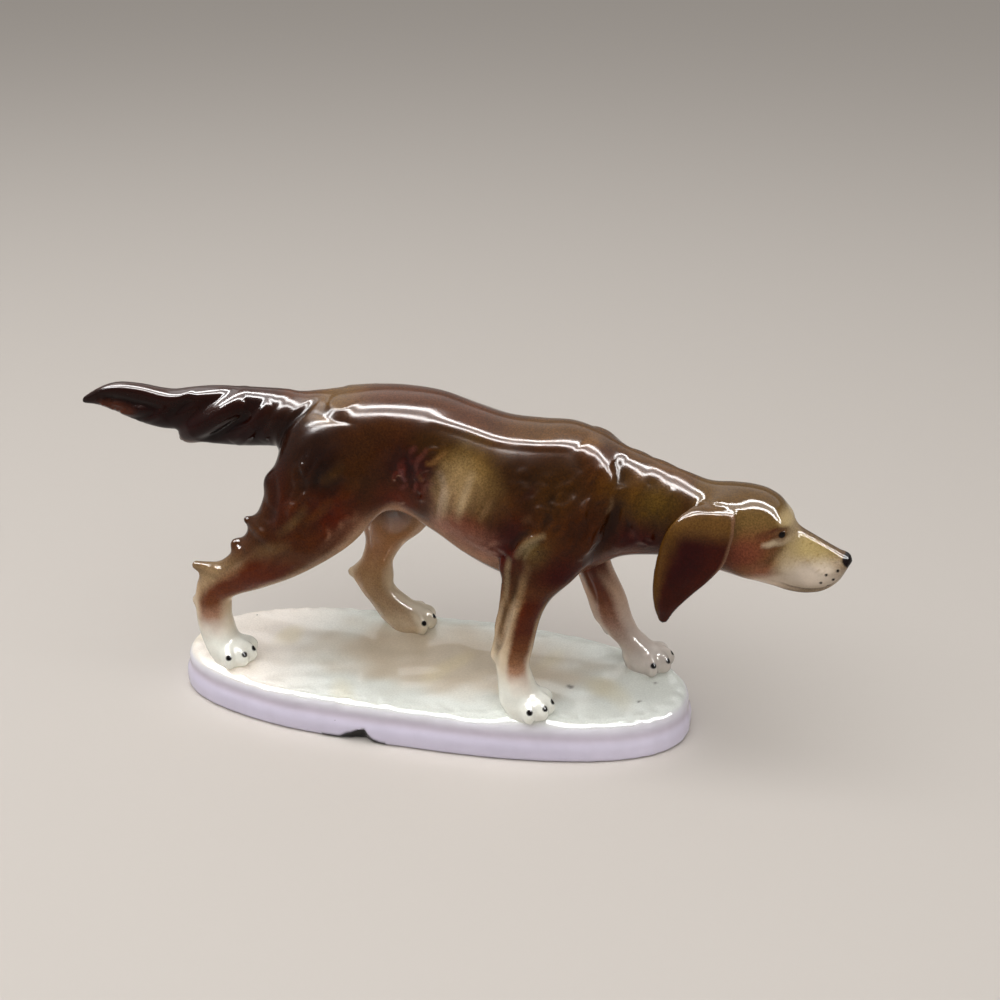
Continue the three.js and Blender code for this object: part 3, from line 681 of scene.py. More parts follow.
# patches of short strokes: middle, reach, lean at the rear and ahead, count, length, half width, height
# and the seed of their draws
coat = [
    ((3, 75.6), (9, 5.6), (62, 35), 24, 6.5, 1.2, 0.2, 11),
    ((-0.5, 68), (5.4, 6), (82, 60), 17, 6.0, 1.2, 0.2, 21),
    ((36.5, 67), (6.5, 5), (35, 20), 10, 5.5, 1.4, 0.12, 31),
    ((29, 55), (5, 4), (30, 15), 8, 5.0, 1.3, 0.14, 41),
    ((-27, 62), (10, 11), (70, 50), 16, 9.0, 1.7, 0.36, 51),
    ((-103, 76), (6, 2.2), (35, 30), 12, 4.0, 0.6, 0.3, 61),
    ((47, 62), (6, 8), (75, 60), 10, 7.0, 1.6, 0.3, 71),
    ((-45, 42), (10, 4), (45, 40), 10, 8.0, 1.5, 0.2, 81),
    ((66, 60), (6, 5), (85, 75), 8, 7.0, 1.2, 0.28, 91),
    ((50, 66), (9, 11), (70, 55), 26, 6.0, 1.3, 0.3, 101),
    ((38, 72), (8, 5), (40, 20), 20, 5.5, 1.3, 0.28, 111),
    ((-26, 64), (11, 7), (60, 40), 22, 7.0, 1.6, 0.2, 121),
    ((-38, 54), (9, 8), (60, 45), 18, 7.0, 1.6, 0.18, 131),
    ((66, 69), (9, 4), (75, 60), 16, 5.0, 1.1, 0.18, 141),
]
for table, sides in ((modelling, (-1, 1)), (nearOnly, (-1,))):
    for strokes in table.values():
        for path, width, height in strokes:
            stroke(path, width, height, sides)
for patch in coat:
    hair(*patch)
sculpted = co + normal * lift[:, None]
# under the belly, to let the air out in the kiln
vent = {"at": (-6.2, 0.0), "radius": 2.5, "depth": 2.6, "below": 60}
belowBelly = (normal[:, 2] < -0.3) & (co[:, 2] < vent["below"])
gap = np.hypot(co[:, 0] - vent["at"][0], co[:, 1] - vent["at"][1])
sculpted[:, 2] += vent["depth"] * belowBelly * (1 - soft(gap, vent["radius"] - 0.6, vent["radius"] + 0.3))
co = eased(sculpted, ends, 0.2)
normal = settled(co)
print("coat and muscles modelled")


# Painting: soft sprays over the bisque, one after the other
def glaze(*colour):
    # a colour from 0 to 255, as it looks, to the linear one that Blender mixes
    return np.array([((v / 255 + 0.055) / 1.055) ** 2.4 if v > 10 else v / 3295 for v in colour])


paint = np.tile(glaze(58, 28, 4), (len(co), 1))
cloud = 0.65 * ripple(co, 9, 3) + 0.45 * ripple(co, 3.2, 4)
x, y, z = co.T
up, out = normal[:, 2], np.abs(normal[:, 1])
black = (14, 8, 7)


def layOn(mask, tone, cover):
    global paint
    paint = paint + (tone - paint) * np.clip(mask * cover, 0, 1)[:, None]


def spray(mask, colour, cover=1.0):
    layOn(mask, glaze(*colour), cover)


def puff(middle, reach, lean=0.0, edge=0.95, cloudy=0.16):
    # 1 in the middle of a soft oval in side view, on both sides of the dog
    c, s = math.cos(math.radians(lean)), math.sin(math.radians(lean))
    dx, dz = x - middle[0], z - middle[1]
    u, w = dx * c + dz * s, dz * c - dx * s
    q = np.hypot(u / reach[0], w / reach[1])
    return 1 - soft(q + cloudy * cloud, 1 - edge, 1 + edge * 0.5)


def drawLines(lines, sides):
    # brush lines: path in side view, half width, colour, cover
    for path, width, colour, cover in lines:
        spray(brush(path, width, sides, 2.2) * np.clip(0.85 + 0.4 * cloud, 0, 1), colour, cover)


# trunk: middle and reach in side view, lean in degrees, colour, cover
trunkSprays = [
    ((-28, 73), (15, 15), 0, (27, 8, 2), 0.97),  # haunch
    ((-43, 70), (6, 13), 10, (30, 9, 3), 0.85),
    ((-16, 71), (6, 12), -20, (54, 26, 2), 0.85),
    ((-23, 57), (10, 9), 30, (64, 14, 0), 0.9),
    ((-40, 58), (7, 14), 10, (58, 18, 2), 0.85),  # thigh
    ((-33, 47), (12, 8), 35, (62, 24, 0), 0.85),
    ((1, 74.5), (11, 10), 20, (40, 4, 2), 0.95),  # flank
    ((-5, 62), (7, 6), 0, (80, 28, 12), 0.85),
    ((5, 67.5), (4.5, 5.5), 20, (64, 16, 6), 0.7),
    ((17, 80.5), (12, 4.6), -10, (80, 54, 10), 0.9),  # upper ribs
    ((7, 82), (9, 4.5), 0, (46, 24, 0), 0.85),
    ((23, 68), (9, 9), 10, (72, 42, 10), 0.85),  # ribs
    ((18, 75.5), (9, 5), -10, (128, 100, 50), 0.7),
    ((21, 69), (8, 8), -15, (116, 90, 54), 0.55),
    ((14, 69.5), (7, 9.8), -20, (148, 122, 84), 0.75),
    ((10.5, 63), (3.6, 7), -20, (150, 122, 92), 0.6),
    ((17, 58), (8, 5.5), 0, (122, 62, 38), 0.85),
    ((28, 52), (8, 6), -15, (64, 8, 3), 0.9),  # chest
    ((32, 58), (8, 8), 0, (48, 2, 0), 0.92),
    ((36, 76), (12, 7), -8, (37, 17, 0), 0.92),  # shoulder
    ((46, 73), (9, 9), -20, (54, 29, 1), 0.9),
    ((52, 61), (7, 10), 0, (51, 19, 0), 0.9),
    ((41, 59), (5, 5), 20, (68, 37, 6), 0.85),
    ((47, 48), (8, 8), 0, (54, 2, 0), 0.92),
    ((70, 70.5), (10, 6.5), -15, (76, 54, 14), 0.92),  # neck
    ((61, 74), (7, 7), -20, (70, 42, 4), 0.85),
    ((66, 58), (10, 6), -5, (46, 0, 0), 0.95),
    ((58, 65), (3, 8), 10, (40, 16, 0), 0.7),
    ((38.4, 55.6), (5, 5), 35, (84, 66, 34), 0.65),  # tuft of the elbow
]
backTop = soft(up, 0.72, 0.97) * soft(z, 60, 72)
offTop = 1 - soft(up, 0.6, 0.9)
neckward = soft(x, 14, 40)
spray(backTop * (1 - neckward), (86, 49, 27), 0.9)
spray(backTop * neckward, (94, 62, 26), 0.9)
for middle, reach, lean, colour, cover in trunkSprays:
    spray(puff(middle, reach, lean) * offTop, colour, cover)
# lighter red on the flank's raised coat strokes: painted sheen of its wrinkles
spray(puff((2, 73), (9, 9)) * soft(lift, 0.1, 0.4), (96, 36, 26), 0.35)
underneath = soft(-up, 0.3, 0.7) * soft(z, 34, 50) * (x > -48)
spray(soft(-up, 0.0, 0.5) * soft(x, 2, 9) * (1 - soft(x, 24, 33)) * (z > 40), (146, 98, 80), 0.75)
facing = normal[:, 0]
spray(soft(facing, 0.2, 0.75) * (x < -6) * (z > 42) * (1 - soft(z, 54, 62)), (134, 90, 66), 0.7)
spray(soft(up, 0.55, 0.9) * np.exp(-(((x + 27) / 8) ** 2)), (112, 80, 34), 0.8)
spray(underneath * (x < 52), (150, 112, 88), 0.9)
spray(underneath * (x > 48) * (x < 80), (92, 56, 44), 0.8)

# tail
onTail = (1 - soft(x, -52, -42)) * soft(z, 60, 64)
spray(puff((-44, 79), (9, 7)) * offTop, (27, 7, 3), 0.9)
spray(onTail, (25, 5, 2))
spray(onTail * (1 - soft(z, 72, 80)), (22, 0, 0), 0.85)
spray(onTail * soft(up, 0.45, 0.9), (66, 36, 22), 0.7)
spray(onTail * puff((-104, 74.5), (7, 2.6)), (92, 44, 24), 0.7)
spray(onTail * puff((-79, 66.5), (6, 1.4)), (96, 60, 40), 0.6)

# legs: colours up the flat sides and up the edges, by height; the far (left) legs' ramps are darker,
# partly as painted shade
legPaintAndShade = {
    "foreleg_right": {
        "side": [
            (7, 232, 232, 222), (11, 222, 212, 198), (16, 164, 124, 98), (20, 134, 90, 60),
            (24, 100, 56, 26), (29, 78, 30, 6), (38, 70, 22, 0), (48, 57, 10, 0),
        ],
        "edge": [
            (8, 232, 232, 222), (20, 204, 184, 156), (27, 152, 120, 86), (38, 116, 84, 52),
            (44, 92, 56, 28), (50, 58, 20, 4),
        ],
    },
    "hindleg_right": {
        "side": [
            (8, 232, 232, 222), (12, 226, 217, 204), (17, 162, 122, 98), (22, 108, 58, 28),
            (26, 98, 45, 14), (33, 84, 31, 6), (42, 70, 24, 0), (50, 62, 22, 0),
        ],
        "edge": [
            (8, 232, 232, 222), (18, 204, 184, 156), (25, 176, 146, 110), (29, 142, 116, 84),
            (38, 108, 82, 52), (45, 86, 58, 32), (52, 66, 34, 12),
        ],
    },
    # the far foreleg's colours are darkened all over: painted shade
    "foreleg_left": {
        "side": [
            (5, 192, 182, 174), (10, 174, 156, 144), (15, 150, 118, 102), (20, 128, 86, 66),
            (25, 98, 50, 28), (30, 84, 34, 12), (40, 64, 20, 3),
        ],
        "edge": [(5, 200, 191, 182), (15, 192, 172, 158), (28, 176, 144, 120), (40, 124, 86, 64)],
    },
    # the far hind leg's paw and lower part are darker: partly a brown wash, partly painted shade
    "hindleg_left": {
        "side": [
            (4, 176, 156, 130), (9, 150, 125, 96), (14, 150, 120, 88), (20, 152, 116, 78),
            (30, 146, 102, 68), (38, 136, 92, 56), (48, 100, 58, 30),
        ],
        "edge": [(4, 202, 192, 172), (12, 192, 174, 146), (25, 178, 150, 120), (40, 142, 106, 78)],
    },
}
for name, leg in legs.items():
    half = x > stance["waist"] if "fore" in name else x < stance["waist"]
    mask = (1 - soft(z, 38, 48)) * half * (y * leg["side"] > 0)
    behind, ahead = curveThrough([row[:3] for row in leg["rows"]])(z).T
    around = (x - behind) / np.maximum(ahead - behind, 1)
    stripe = 1 - soft(np.abs(around + 0.05 * cloud - leg["stripe"][0]), *leg["stripe"][1:])
    stripe = np.maximum(stripe, soft(z, *leg.get("brown", (34, 46)))) * soft(out, 0.2, 0.55)
    for key, share in (("edge", 1.0), ("side", stripe)):
        ramp = np.array(legPaintAndShade[name][key], float)
        tones = np.array([glaze(*row[1:]) for row in ramp])
        height = z + 1.2 * cloud
        colour = np.column_stack([np.interp(height, ramp[:, 0], tones[:, k]) for k in range(3)])
        layOn(mask * share, colour, 1.0)

rim = soft(facing - 0.6 * up, 0.5, 1.05) * soft(z, 24, 30) * (1 - soft(z, 50, 60))
spray(rim * (x < -6), (178, 146, 116), 0.7)

# head
onHead = soft(x, 79, 84)
spray(onHead, (106, 80, 42))
spray(onHead * soft(up, 0.55, 0.92) * soft(z, 66, 72), (92, 65, 30), 0.9)
headSprays = [
    ((92, 56), (5, 7), 0, (86, 40, 18), 0.8),  # behind the cheek
    ((97, 60), (9, 6.6), 15, (106, 50, 34), 0.85),
    ((101, 53.5), (6, 4), 25, (140, 84, 64), 0.6),
    ((109, 58), (4, 6), -30, (174, 152, 116), 0.95),  # below the eye
    ((103, 49.5), (8, 3.6), 0, (196, 174, 152), 0.9),
    ((114, 60), (7, 4), -20, (172, 150, 100), 0.95),  # upper muzzle
    ((115, 52.5), (10, 5.4), 0, (208, 193, 176), 0.97),
    ((106.9, 68.4), (3.2, 1.9), -40, (192, 168, 122), 0.85),
    ((108.4, 65), (2, 3), 0, (186, 166, 136), 0.4),
    ((104.4, 63.4), (3, 0.9), 8, (196, 176, 146), 0.6),
    ((92, 48.5), (7, 3), 0, (170, 126, 100), 0.7),
]
for middle, reach, lean, colour, cover in headSprays:
    spray(onHead * puff(middle, reach, lean, 0.8, 0.1), colour, cover)
spray(soft(up, 0.62, 0.9) * soft(x, 108, 111), (82, 58, 40), 0.85)

# ears
earNear = np.minimum(*[f(x, y, z) for f in earForms.values()])
earSkin = (earNear < clay.sample(co, bare)) & (earNear < 1.2)
earPlace = curveThrough(ears["rows"])(z)
acrossEar = (x - earPlace[:, 0]) / np.maximum(earPlace[:, 1] - earPlace[:, 0], 0.5)
spray(earSkin * 1.0, (44, 1, 0))
spray(earSkin * (1 - soft(z, 44, 54)), (52, 12, 0), 0.8)
spray(earSkin * soft(acrossEar, 0.5, 0.9), (60, 14, 1), 0.8)
spray(earSkin * (1 - soft(acrossEar + 0.06 * cloud, 0.06, 0.34)), (84, 54, 14), 0.85)
spray(earSkin * soft(z + 0.8 * cloud, 61, 68), (98, 68, 30), 0.9)
spray(earSkin * soft(acrossEar, 0.93, 0.99) * soft(z, 48, 56), (136, 98, 72), 0.8)


def dot(middle, size, colour, cover=1.0, core=0.75):
    # a round dab that is full in its core
    gap = np.linalg.norm(co - np.array(middle), axis=1)
    spray(1 - soft(gap, size * core, size * 1.1), colour, cover)


# the coloured glaze is thin on ridges and pools in hollows
paint *= (1 + (1 - 0.8 * earSkin) * (0.4 * soft(lift, 0.04, 0.6) - 0.4 * soft(-lift, 0.04, 0.6)))[:, None]

# streaks on both sides: brush streaks, and on the flank pinkish lines that are painted reflections on the
# coat's wrinkles
streaksAndSheen = [
    ([(9.3, 75), (11.1, 69.6), (9.9, 63.3), (8.4, 57.7)], 1.9, (158, 138, 118), 0.6),  # ribs
    ([(12.3, 71), (11.4, 66), (10.2, 59.6)], 1.6, (168, 146, 114), 0.48),
    ([(19.4, 76), (17.6, 69), (16.2, 64.5), (14.4, 59)], 2.1, (174, 150, 116), 0.58),
    ([(25.6, 69.5), (23.7, 64.8), (21.6, 61)], 1.6, (122, 92, 60), 0.55),
    ([(15, 70), (13.2, 65.4), (12.6, 61)], 1.3, (100, 72, 48), 0.6),
    ([(22.6, 71.5), (20.4, 66.3), (18.4, 61)], 1.8, (76, 48, 22), 0.55),
    ([(29, 70), (27, 64), (24.6, 59)], 2.0, (58, 28, 8), 0.5),
    # the pale pinkish flank lines are painted reflections on the wrinkles; the two dark ones are brush
    # streaks
    ([(-0.2, 78.4), (2.3, 80.7)], 1.3, (104, 54, 46), 0.6),  # flank
    ([(5.6, 80.7), (4.1, 78.3), (2.3, 76), (1.7, 72.6)], 1.2, (106, 56, 46), 0.65),
    ([(11.3, 80.6), (9.2, 78.4), (6.8, 76.3), (4.7, 76.2)], 1.3, (118, 82, 44), 0.7),
    ([(-2.5, 73.4), (-2.6, 70.7), (-1.6, 68.6)], 1.2, (122, 74, 72), 0.65),
    ([(-4, 65.6), (-1, 68.3)], 1.2, (104, 52, 44), 0.6),
    ([(0.6, 65.4), (1.8, 69.6)], 1.0, (112, 60, 52), 0.6),
    ([(3.2, 65.6), (5, 68.5), (6.4, 71.6)], 1.2, (110, 56, 44), 0.55),
    ([(2.6, 72.4), (3.8, 69.6)], 1.4, (106, 64, 34), 0.5),
    ([(9.6, 76), (7, 73.6), (5.4, 69.8), (5.4, 65)], 1.3, (42, 14, 8), 0.7),
    ([(-1, 76.4), (-0.4, 71), (0.2, 66)], 1.1, (34, 6, 6), 0.6),
    ([(-19, 74), (-22.4, 70.4), (-26.4, 67)], 2.6, (76, 50, 18), 0.4),  # thigh
    ([(-17.6, 69.6), (-21, 66), (-26, 62.6)], 1.6, (40, 12, 4), 0.5),
    ([(-22, 63), (-27, 58), (-33, 53)], 2.4, (84, 50, 18), 0.45),
    ([(-30, 60), (-35, 54), (-41, 48.6)], 2.2, (92, 70, 40), 0.5),
    ([(-35, 47), (-42, 44.6), (-50, 41)], 3.2, (104, 82, 52), 0.4),
    ([(58.8, 72), (58.6, 69), (57.4, 66)], 0.9, (112, 86, 58), 0.6),  # shoulder and neck
    ([(64.6, 62), (64.6, 58.6)], 1.4, (92, 46, 36), 0.5),
    ([(60.4, 70), (59.6, 64), (57.4, 57)], 1.6, (30, 8, 2), 0.6),
    ([(38, 65.4), (34.6, 63.6)], 1.6, (92, 64, 40), 0.5),
    ([(33, 69), (36, 71), (38, 74)], 2.0, (48, 16, 10), 0.5),
]
drawLines(streaksAndSheen, (-1, 1))

# marks on the near foreleg: the elbow's tuft and the feather behind the leg
marks = [
    # the two pale streaks along the elbow tuft's ridges are painted highlights
    ([(42.4, 61.2), (39, 59.4), (35.8, 56.4), (33.4, 52)], 1.5, (166, 148, 112), 0.5),
    ([(40.4, 58.8), (37.6, 56.4), (35.6, 52)], 1.2, (150, 132, 94), 0.4),
    ([(31.4, 52.4), (30.8, 47), (30.4, 41), (30, 36)], 1.5, (160, 140, 106), 0.7),
    (
        [(33.6, 52), (33.4, 45), (32.6, 40), (30.8, 36), (29.6, 30), (28.4, 24), (27.8, 16)],
        1.9, (62, 42, 22), 0.85,
    ),
    ([(37.6, 52), (35.6, 43.6), (33.4, 36), (32.2, 31)], 2.2, (140, 114, 80), 0.6),
    ([(34.4, 40), (32.4, 33), (31.2, 25), (30.4, 14)], 2.0, (196, 176, 148), 0.65),
    ([(29.4, 38), (27.4, 27), (26.4, 17)], 1.3, (186, 166, 136), 0.7),
]
drawLines(marks, (-1,))

# painted details
freckle = soft(ripple(co, 1.5, 17), 0.35, 0.9) * onHead
spray(freckle * puff((114, 59.5), (9, 5.5), -20), (132, 106, 58), 0.5)
faceMarks = {
    "lines": [  # brow, lids and below the eye
        ([(104.6, 71), (107.2, 69), (109.2, 66.4)], 1.5, (206, 188, 150), 0.75),
        # the two dark lid lines also carry the painted shadow above the eye and beside it
        ([(98.6, 64.8), (101.6, 66), (104.6, 66.8), (108, 66.2)], 1.2, (80, 34, 22), 0.9),
        ([(99.4, 64), (102.4, 64.9), (105.4, 65.4)], 1.1, (84, 34, 24), 0.75),
        ([(100.4, 62.8), (103.2, 62.6), (106, 62.4), (108, 63.4)], 1.2, (208, 190, 160), 0.6),
    ],
    # a darker ring round the eye: painted shade of the socket
    "socket": {"middle": (105.2, 7.2, 65), "size": 2.3, "colour": (98, 64, 42), "cover": 0.5},
    "pupil": {"middle": (105.8, 7.2, 65.1), "size": 1.15, "colour": black},
    "nose": {"middle": (123.4, 0, 57), "reach": (2.3, 3.4, 2.1), "colour": (22, 14, 13)},
    "whiskers": [(118.5, 53.9), (117.3, 51.1), (120.5, 52.4), (121.4, 55.2), (119.3, 49.9)],
}
drawLines(faceMarks["lines"], (-1, 1))
for key in ("socket", "pupil"):
    for side in (-1, 1):
        mark = dict(faceMarks[key])
        mark["middle"] = np.array(mark["middle"]) * (1, side, 1)
        dot(**mark)
noseMark = faceMarks["nose"]
noseGap = np.linalg.norm((co - noseMark["middle"]) / noseMark["reach"], axis=1)
spray(1 - soft(noseGap, 0.92, 1.08), noseMark["colour"])
for whiskerX, whiskerZ in faceMarks["whiskers"]:
    gap = np.hypot(x - whiskerX, z - whiskerZ)
    spray((1 - soft(gap, 0.3, 0.55)) * (out > 0.3), black)
for leg in legs.values():
    for angle, toeX, toeY in toeSpots(leg, toes["tip"]):
        dot((toeX, toeY, toes["claw"] - toes["outerDrop"] * (angle > toes["outer"])), 1.0, black, core=0.8)
grain = np.clip(1.25 - paint.mean(axis=1) * 2.6, 0.12, 1)  # pale areas show fewer droplets
print("paint sprayed")


# Glaze: shader groups that the materials share
def newGroup(name, inputs, outputs):
    tree = bpy.data.node_groups.new(name, "ShaderNodeTree")
    for label, kind, value in inputs:
        socket = tree.interface.new_socket(label, in_out="INPUT", socket_type="NodeSocket" + kind)
        socket.default_value = value
    for label, kind in outputs:
        tree.interface.new_socket(label, in_out="OUTPUT", socket_type="NodeSocket" + kind)
    return tree, tree.nodes.new("NodeGroupInput"), tree.nodes.new("NodeGroupOutput")


def addNode(tree, kind, inputs=None, **settings):
    # an input is a value or the socket that feeds it
    node = tree.nodes.new("ShaderNode" + kind)
    for key, value in settings.items():
        setattr(node, key, value)
    for key, value in (inputs or {}).items():
        if isinstance(value, bpy.types.NodeSocket):
            tree.links.new(value, node.inputs[key])
        else:
            node.inputs[key].default_value = value
    return node


def mixColour(tree, blend, share, first, second):
    node = addNode(tree, "Mix", {0: share}, data_type="RGBA", blend_type=blend)
    for key, socket in ((6, first), (7, second)):
        tree.links.new(socket, node.inputs[key])
    return node.outputs[2]


def maths(tree, operation, *terms):
    return addNode(tree, "Math", dict(enumerate(terms)), operation=operation).outputs[0]


def rescaled(tree, value, low, high, newLow=0.0, newHigh=1.0):
    return addNode(tree, "MapRange", {0: value, 1: low, 2: high, 3: newLow, 4: newHigh}).outputs[0]


def noise(tree, **values):
    place = addNode(tree, "TexCoord").outputs["Object"]
    return addNode(tree, "TexNoise", {"Vector": place, **values}).outputs["Fac"]


def airbrushGroup():
    # fine droplets and slow clouds of the sprayed colour
    tree, given, made = newGroup(
        "airbrush",
        [("Colour", "Color", (0.5, 0.5, 0.5, 1)), ("Droplets", "Float", 0.5), ("Clouds", "Float", 0.3)],
        [("Colour", "Color")],
    )
    drops = rescaled(tree, noise(tree, Scale=1900.0, Detail=2.0, Roughness=0.7), 0.3, 0.7, 0.35, 1.6)
    clouds = rescaled(tree, noise(tree, Scale=140.0, Detail=3.0), 0.3, 0.7, 0.6, 1.35)
    dotted = mixColour(tree, "MULTIPLY", given.outputs["Droplets"], given.outputs["Colour"], drops)
    clouded = mixColour(tree, "MULTIPLY", given.outputs["Clouds"], dotted, clouds)
    tree.links.new(clouded, made.inputs["Colour"])
    return tree


def specksGroup():
    # iron specks from the kiln
    tree, given, made = newGroup(
        "kilnSpecks",
        [
            ("Colour", "Color", (0.5, 0.5, 0.5, 1)), ("Speck", "Color", (0.01, 0.007, 0.005, 1)),
            ("Spacing", "Float", 260.0), ("Rarity", "Float", 0.8), ("Size", "Float", 0.07),
        ],
        [("Colour", "Color")],
    )
    place = addNode(tree, "TexCoord").outputs["Object"]
    cells = addNode(tree, "TexVoronoi", {"Vector": place, "Scale": given.outputs["Spacing"]})
    pick = addNode(tree, "SeparateColor", {0: cells.outputs["Color"]})
    chosen = maths(tree, "GREATER_THAN", pick.outputs[0], given.outputs["Rarity"])
    radius = maths(tree, "MULTIPLY", pick.outputs[1], given.outputs["Size"])
    inside = maths(tree, "LESS_THAN", cells.outputs["Distance"], radius)
    mask = maths(tree, "MULTIPLY", chosen, inside)
    result = mixColour(tree, "MIX", mask, given.outputs["Colour"], given.outputs["Speck"])
    tree.links.new(result, made.inputs["Colour"])
    return tree


def glazeGroup():
    # the run and pinholes of the clear glaze, and how its gloss varies
    tree, given, made = newGroup(
        "clearGlaze",
        [("Roughness", "Float", 0.08), ("Dulling", "Float", 0.08)],
        [("Roughness", "Float"), ("Height", "Float")],
    )
    place = addNode(tree, "TexCoord").outputs["Object"]
    run = noise(tree, Scale=90.0, Detail=2.0)
    peel = noise(tree, Scale=420.0, Detail=1.0)
    holes = addNode(tree, "TexVoronoi", {"Vector": place, "Scale": 330.0})
    pits = rescaled(tree, holes.outputs["Distance"], 0.02, 0.06, -0.6, 0.0)
    height = maths(tree, "ADD", maths(tree, "MULTIPLY_ADD", peel, 0.25, run), pits)
    dulled = rescaled(tree, run, 0.45, 0.75)
    rough = maths(tree, "MULTIPLY_ADD", dulled, given.outputs["Dulling"], given.outputs["Roughness"])
    tree.links.new(rough, made.inputs["Roughness"])
    tree.links.new(height, made.inputs["Height"])
    return tree


airbrush, kilnSpecks, clearGlaze = airbrushGroup(), specksGroup(), glazeGroup()
finishes = {
    # droplets and clouds of the spray, rarity of the specks, roughness, run of the glaze in mm, shine
    "coat_glaze": dict(droplets=0.6, clouds=0.45, rarity=0.82, rough=0.15, run=0.008, shine=0.22),
    "face_glaze": dict(droplets=0.5, clouds=0.2, rarity=0.86, rough=0.1, run=0.006, shine=0.22),
    "ear_glaze": dict(droplets=0.5, clouds=0.35, rarity=0.95, rough=0.13, run=0.008, shine=0.22),
    "flag_glaze": dict(droplets=0.5, clouds=0.35, rarity=0.97, rough=0.12, run=0.008, shine=0.22),
    "leg_glaze": dict(droplets=0.5, clouds=0.25, rarity=0.94, rough=0.1, run=0.01, shine=0.32),
    "ivory_glaze": dict(droplets=0.12, clouds=0.1, rarity=0.93, rough=0.09, run=0.012, shine=0.45),
}


def glazeMaterial(name, finish):
    material = bpy.data.materials.new(name)
    material.use_nodes = True
    tree = material.node_tree
    shader = tree.nodes["Principled BSDF"]
    shader.inputs["IOR"].default_value = 1.34
    shader.inputs["Specular IOR Level"].default_value = finish["shine"]
    tint = addNode(tree, "VertexColor", layer_name="glazeColour").outputs
    droplets = maths(tree, "MULTIPLY", tint["Alpha"], finish["droplets"])
    spraying = {"Colour": tint["Color"], "Droplets": droplets, "Clouds": finish["clouds"]}
    sprayed = addNode(tree, "Group", spraying, node_tree=airbrush).outputs["Colour"]
    specked = addNode(tree, "Group", {"Colour": sprayed, "Rarity": finish["rarity"]}, node_tree=kilnSpecks)
    clear = addNode(tree, "Group", {"Roughness": finish["rough"]}, node_tree=clearGlaze).outputs
    run = addNode(tree, "Bump", {"Height": clear["Height"], "Strength": 1.0})
    run.inputs["Distance"].default_value = finish["run"] * mm
    tree.links.new(specked.outputs["Colour"], shader.inputs["Base Color"])
    tree.links.new(clear["Roughness"], shader.inputs["Roughness"])
    tree.links.new(run.outputs["Normal"], shader.inputs["Normal"])
    return material


materials = {name: glazeMaterial(name, finish) for name, finish in finishes.items()}
print("glazes mixed")


# Castings: the skin is parted at the seams, each part closed with flat hidden faces
def newPiece(name, slot, points, faces, normals, colours, grain, capped):
    mesh = bpy.data.meshes.new(name)
    mesh.from_pydata(points.tolist(), [], faces)
    skinCount = len(faces)
    if capped:
        bm = bmesh.new()
        bm.from_mesh(mesh)
        rim = [e for e in bm.edges if e.is_boundary]
        bmesh.ops.holes_fill(bm, edges=rim, sides=0)
        bm.to_mesh(mesh)
        bm.free()
    mesh.polygons.foreach_set("use_smooth", np.ones(len(mesh.polygons), bool))
    mesh.update()
    corner = pull(mesh.loops, "vertex_index", 1, np.int32)
    split = normals[corner]
    for polygon in list(mesh.polygons)[skinCount:]:
        split[polygon.loop_start : polygon.loop_start + polygon.loop_total] = polygon.normal
    mesh.normals_split_custom_set(split.tolist())
    layer = mesh.color_attributes.new("glazeColour", "FLOAT_COLOR", "POINT")
    layer.data.foreach_set("color", np.column_stack([colours, grain]).ravel())
    mesh.materials.append(materials[slot])
    piece = bpy.data.objects.new(name, mesh)
    bpy.context.scene.collection.objects.link(piece)
    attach(piece, "root")
    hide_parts(name)


loopStart = pull(work.polygons, "loop_start", 1, np.int32)
loopTotal = pull(work.polygons, "loop_total", 1, np.int32)
loopVertex = pull(work.loops, "vertex_index", 1, np.int32)
centre = np.add.reduceat(co[loopVertex], loopStart) / loopTotal[:, None]
cx, cy, cz = centre.T
label = np.full(len(centre), "torso", dtype=object)
label[(cx < seams["tail"][1]) & (cz > 62)] = "tail"
label[cx > seams["head"][1]] = "head"
for name, leg in legs.items():
    half = cx > stance["waist"] if "fore" in name else cx < stance["waist"]
    below = cz < seams[name.split("_")[0]][1]
    label[half & below & (cy * leg["side"] > 0)] = name
earShare = np.add.reduceat(earSkin[loopVertex].astype(float), loopStart) / loopTotal
for name, side in ears["sides"].items():
    label[(earShare > 0.5) & (cy * side > 0)] = name
slots = {entry["node"]: entry["material_slot"] for entry in frame["record"]["subparts"]}
rowPoints, rowNormals = turned(co) * mm + standAt, turned(normal)
for name in sorted(set(label)):
    chosen = np.flatnonzero(label == name)
    faces = [loopVertex[loopStart[f] : loopStart[f] + loopTotal[f]] for f in chosen]
    used = np.unique(np.concatenate(faces))
    number = np.full(len(co), -1)
    number[used] = np.arange(len(used))
    faces = [number[f].tolist() for f in faces]
    newPiece(name, slots[name], rowPoints[used], faces, rowNormals[used], paint[used], grain[used], True)
    print("casting", name, len(faces), "faces")
bpy.data.meshes.remove(work)

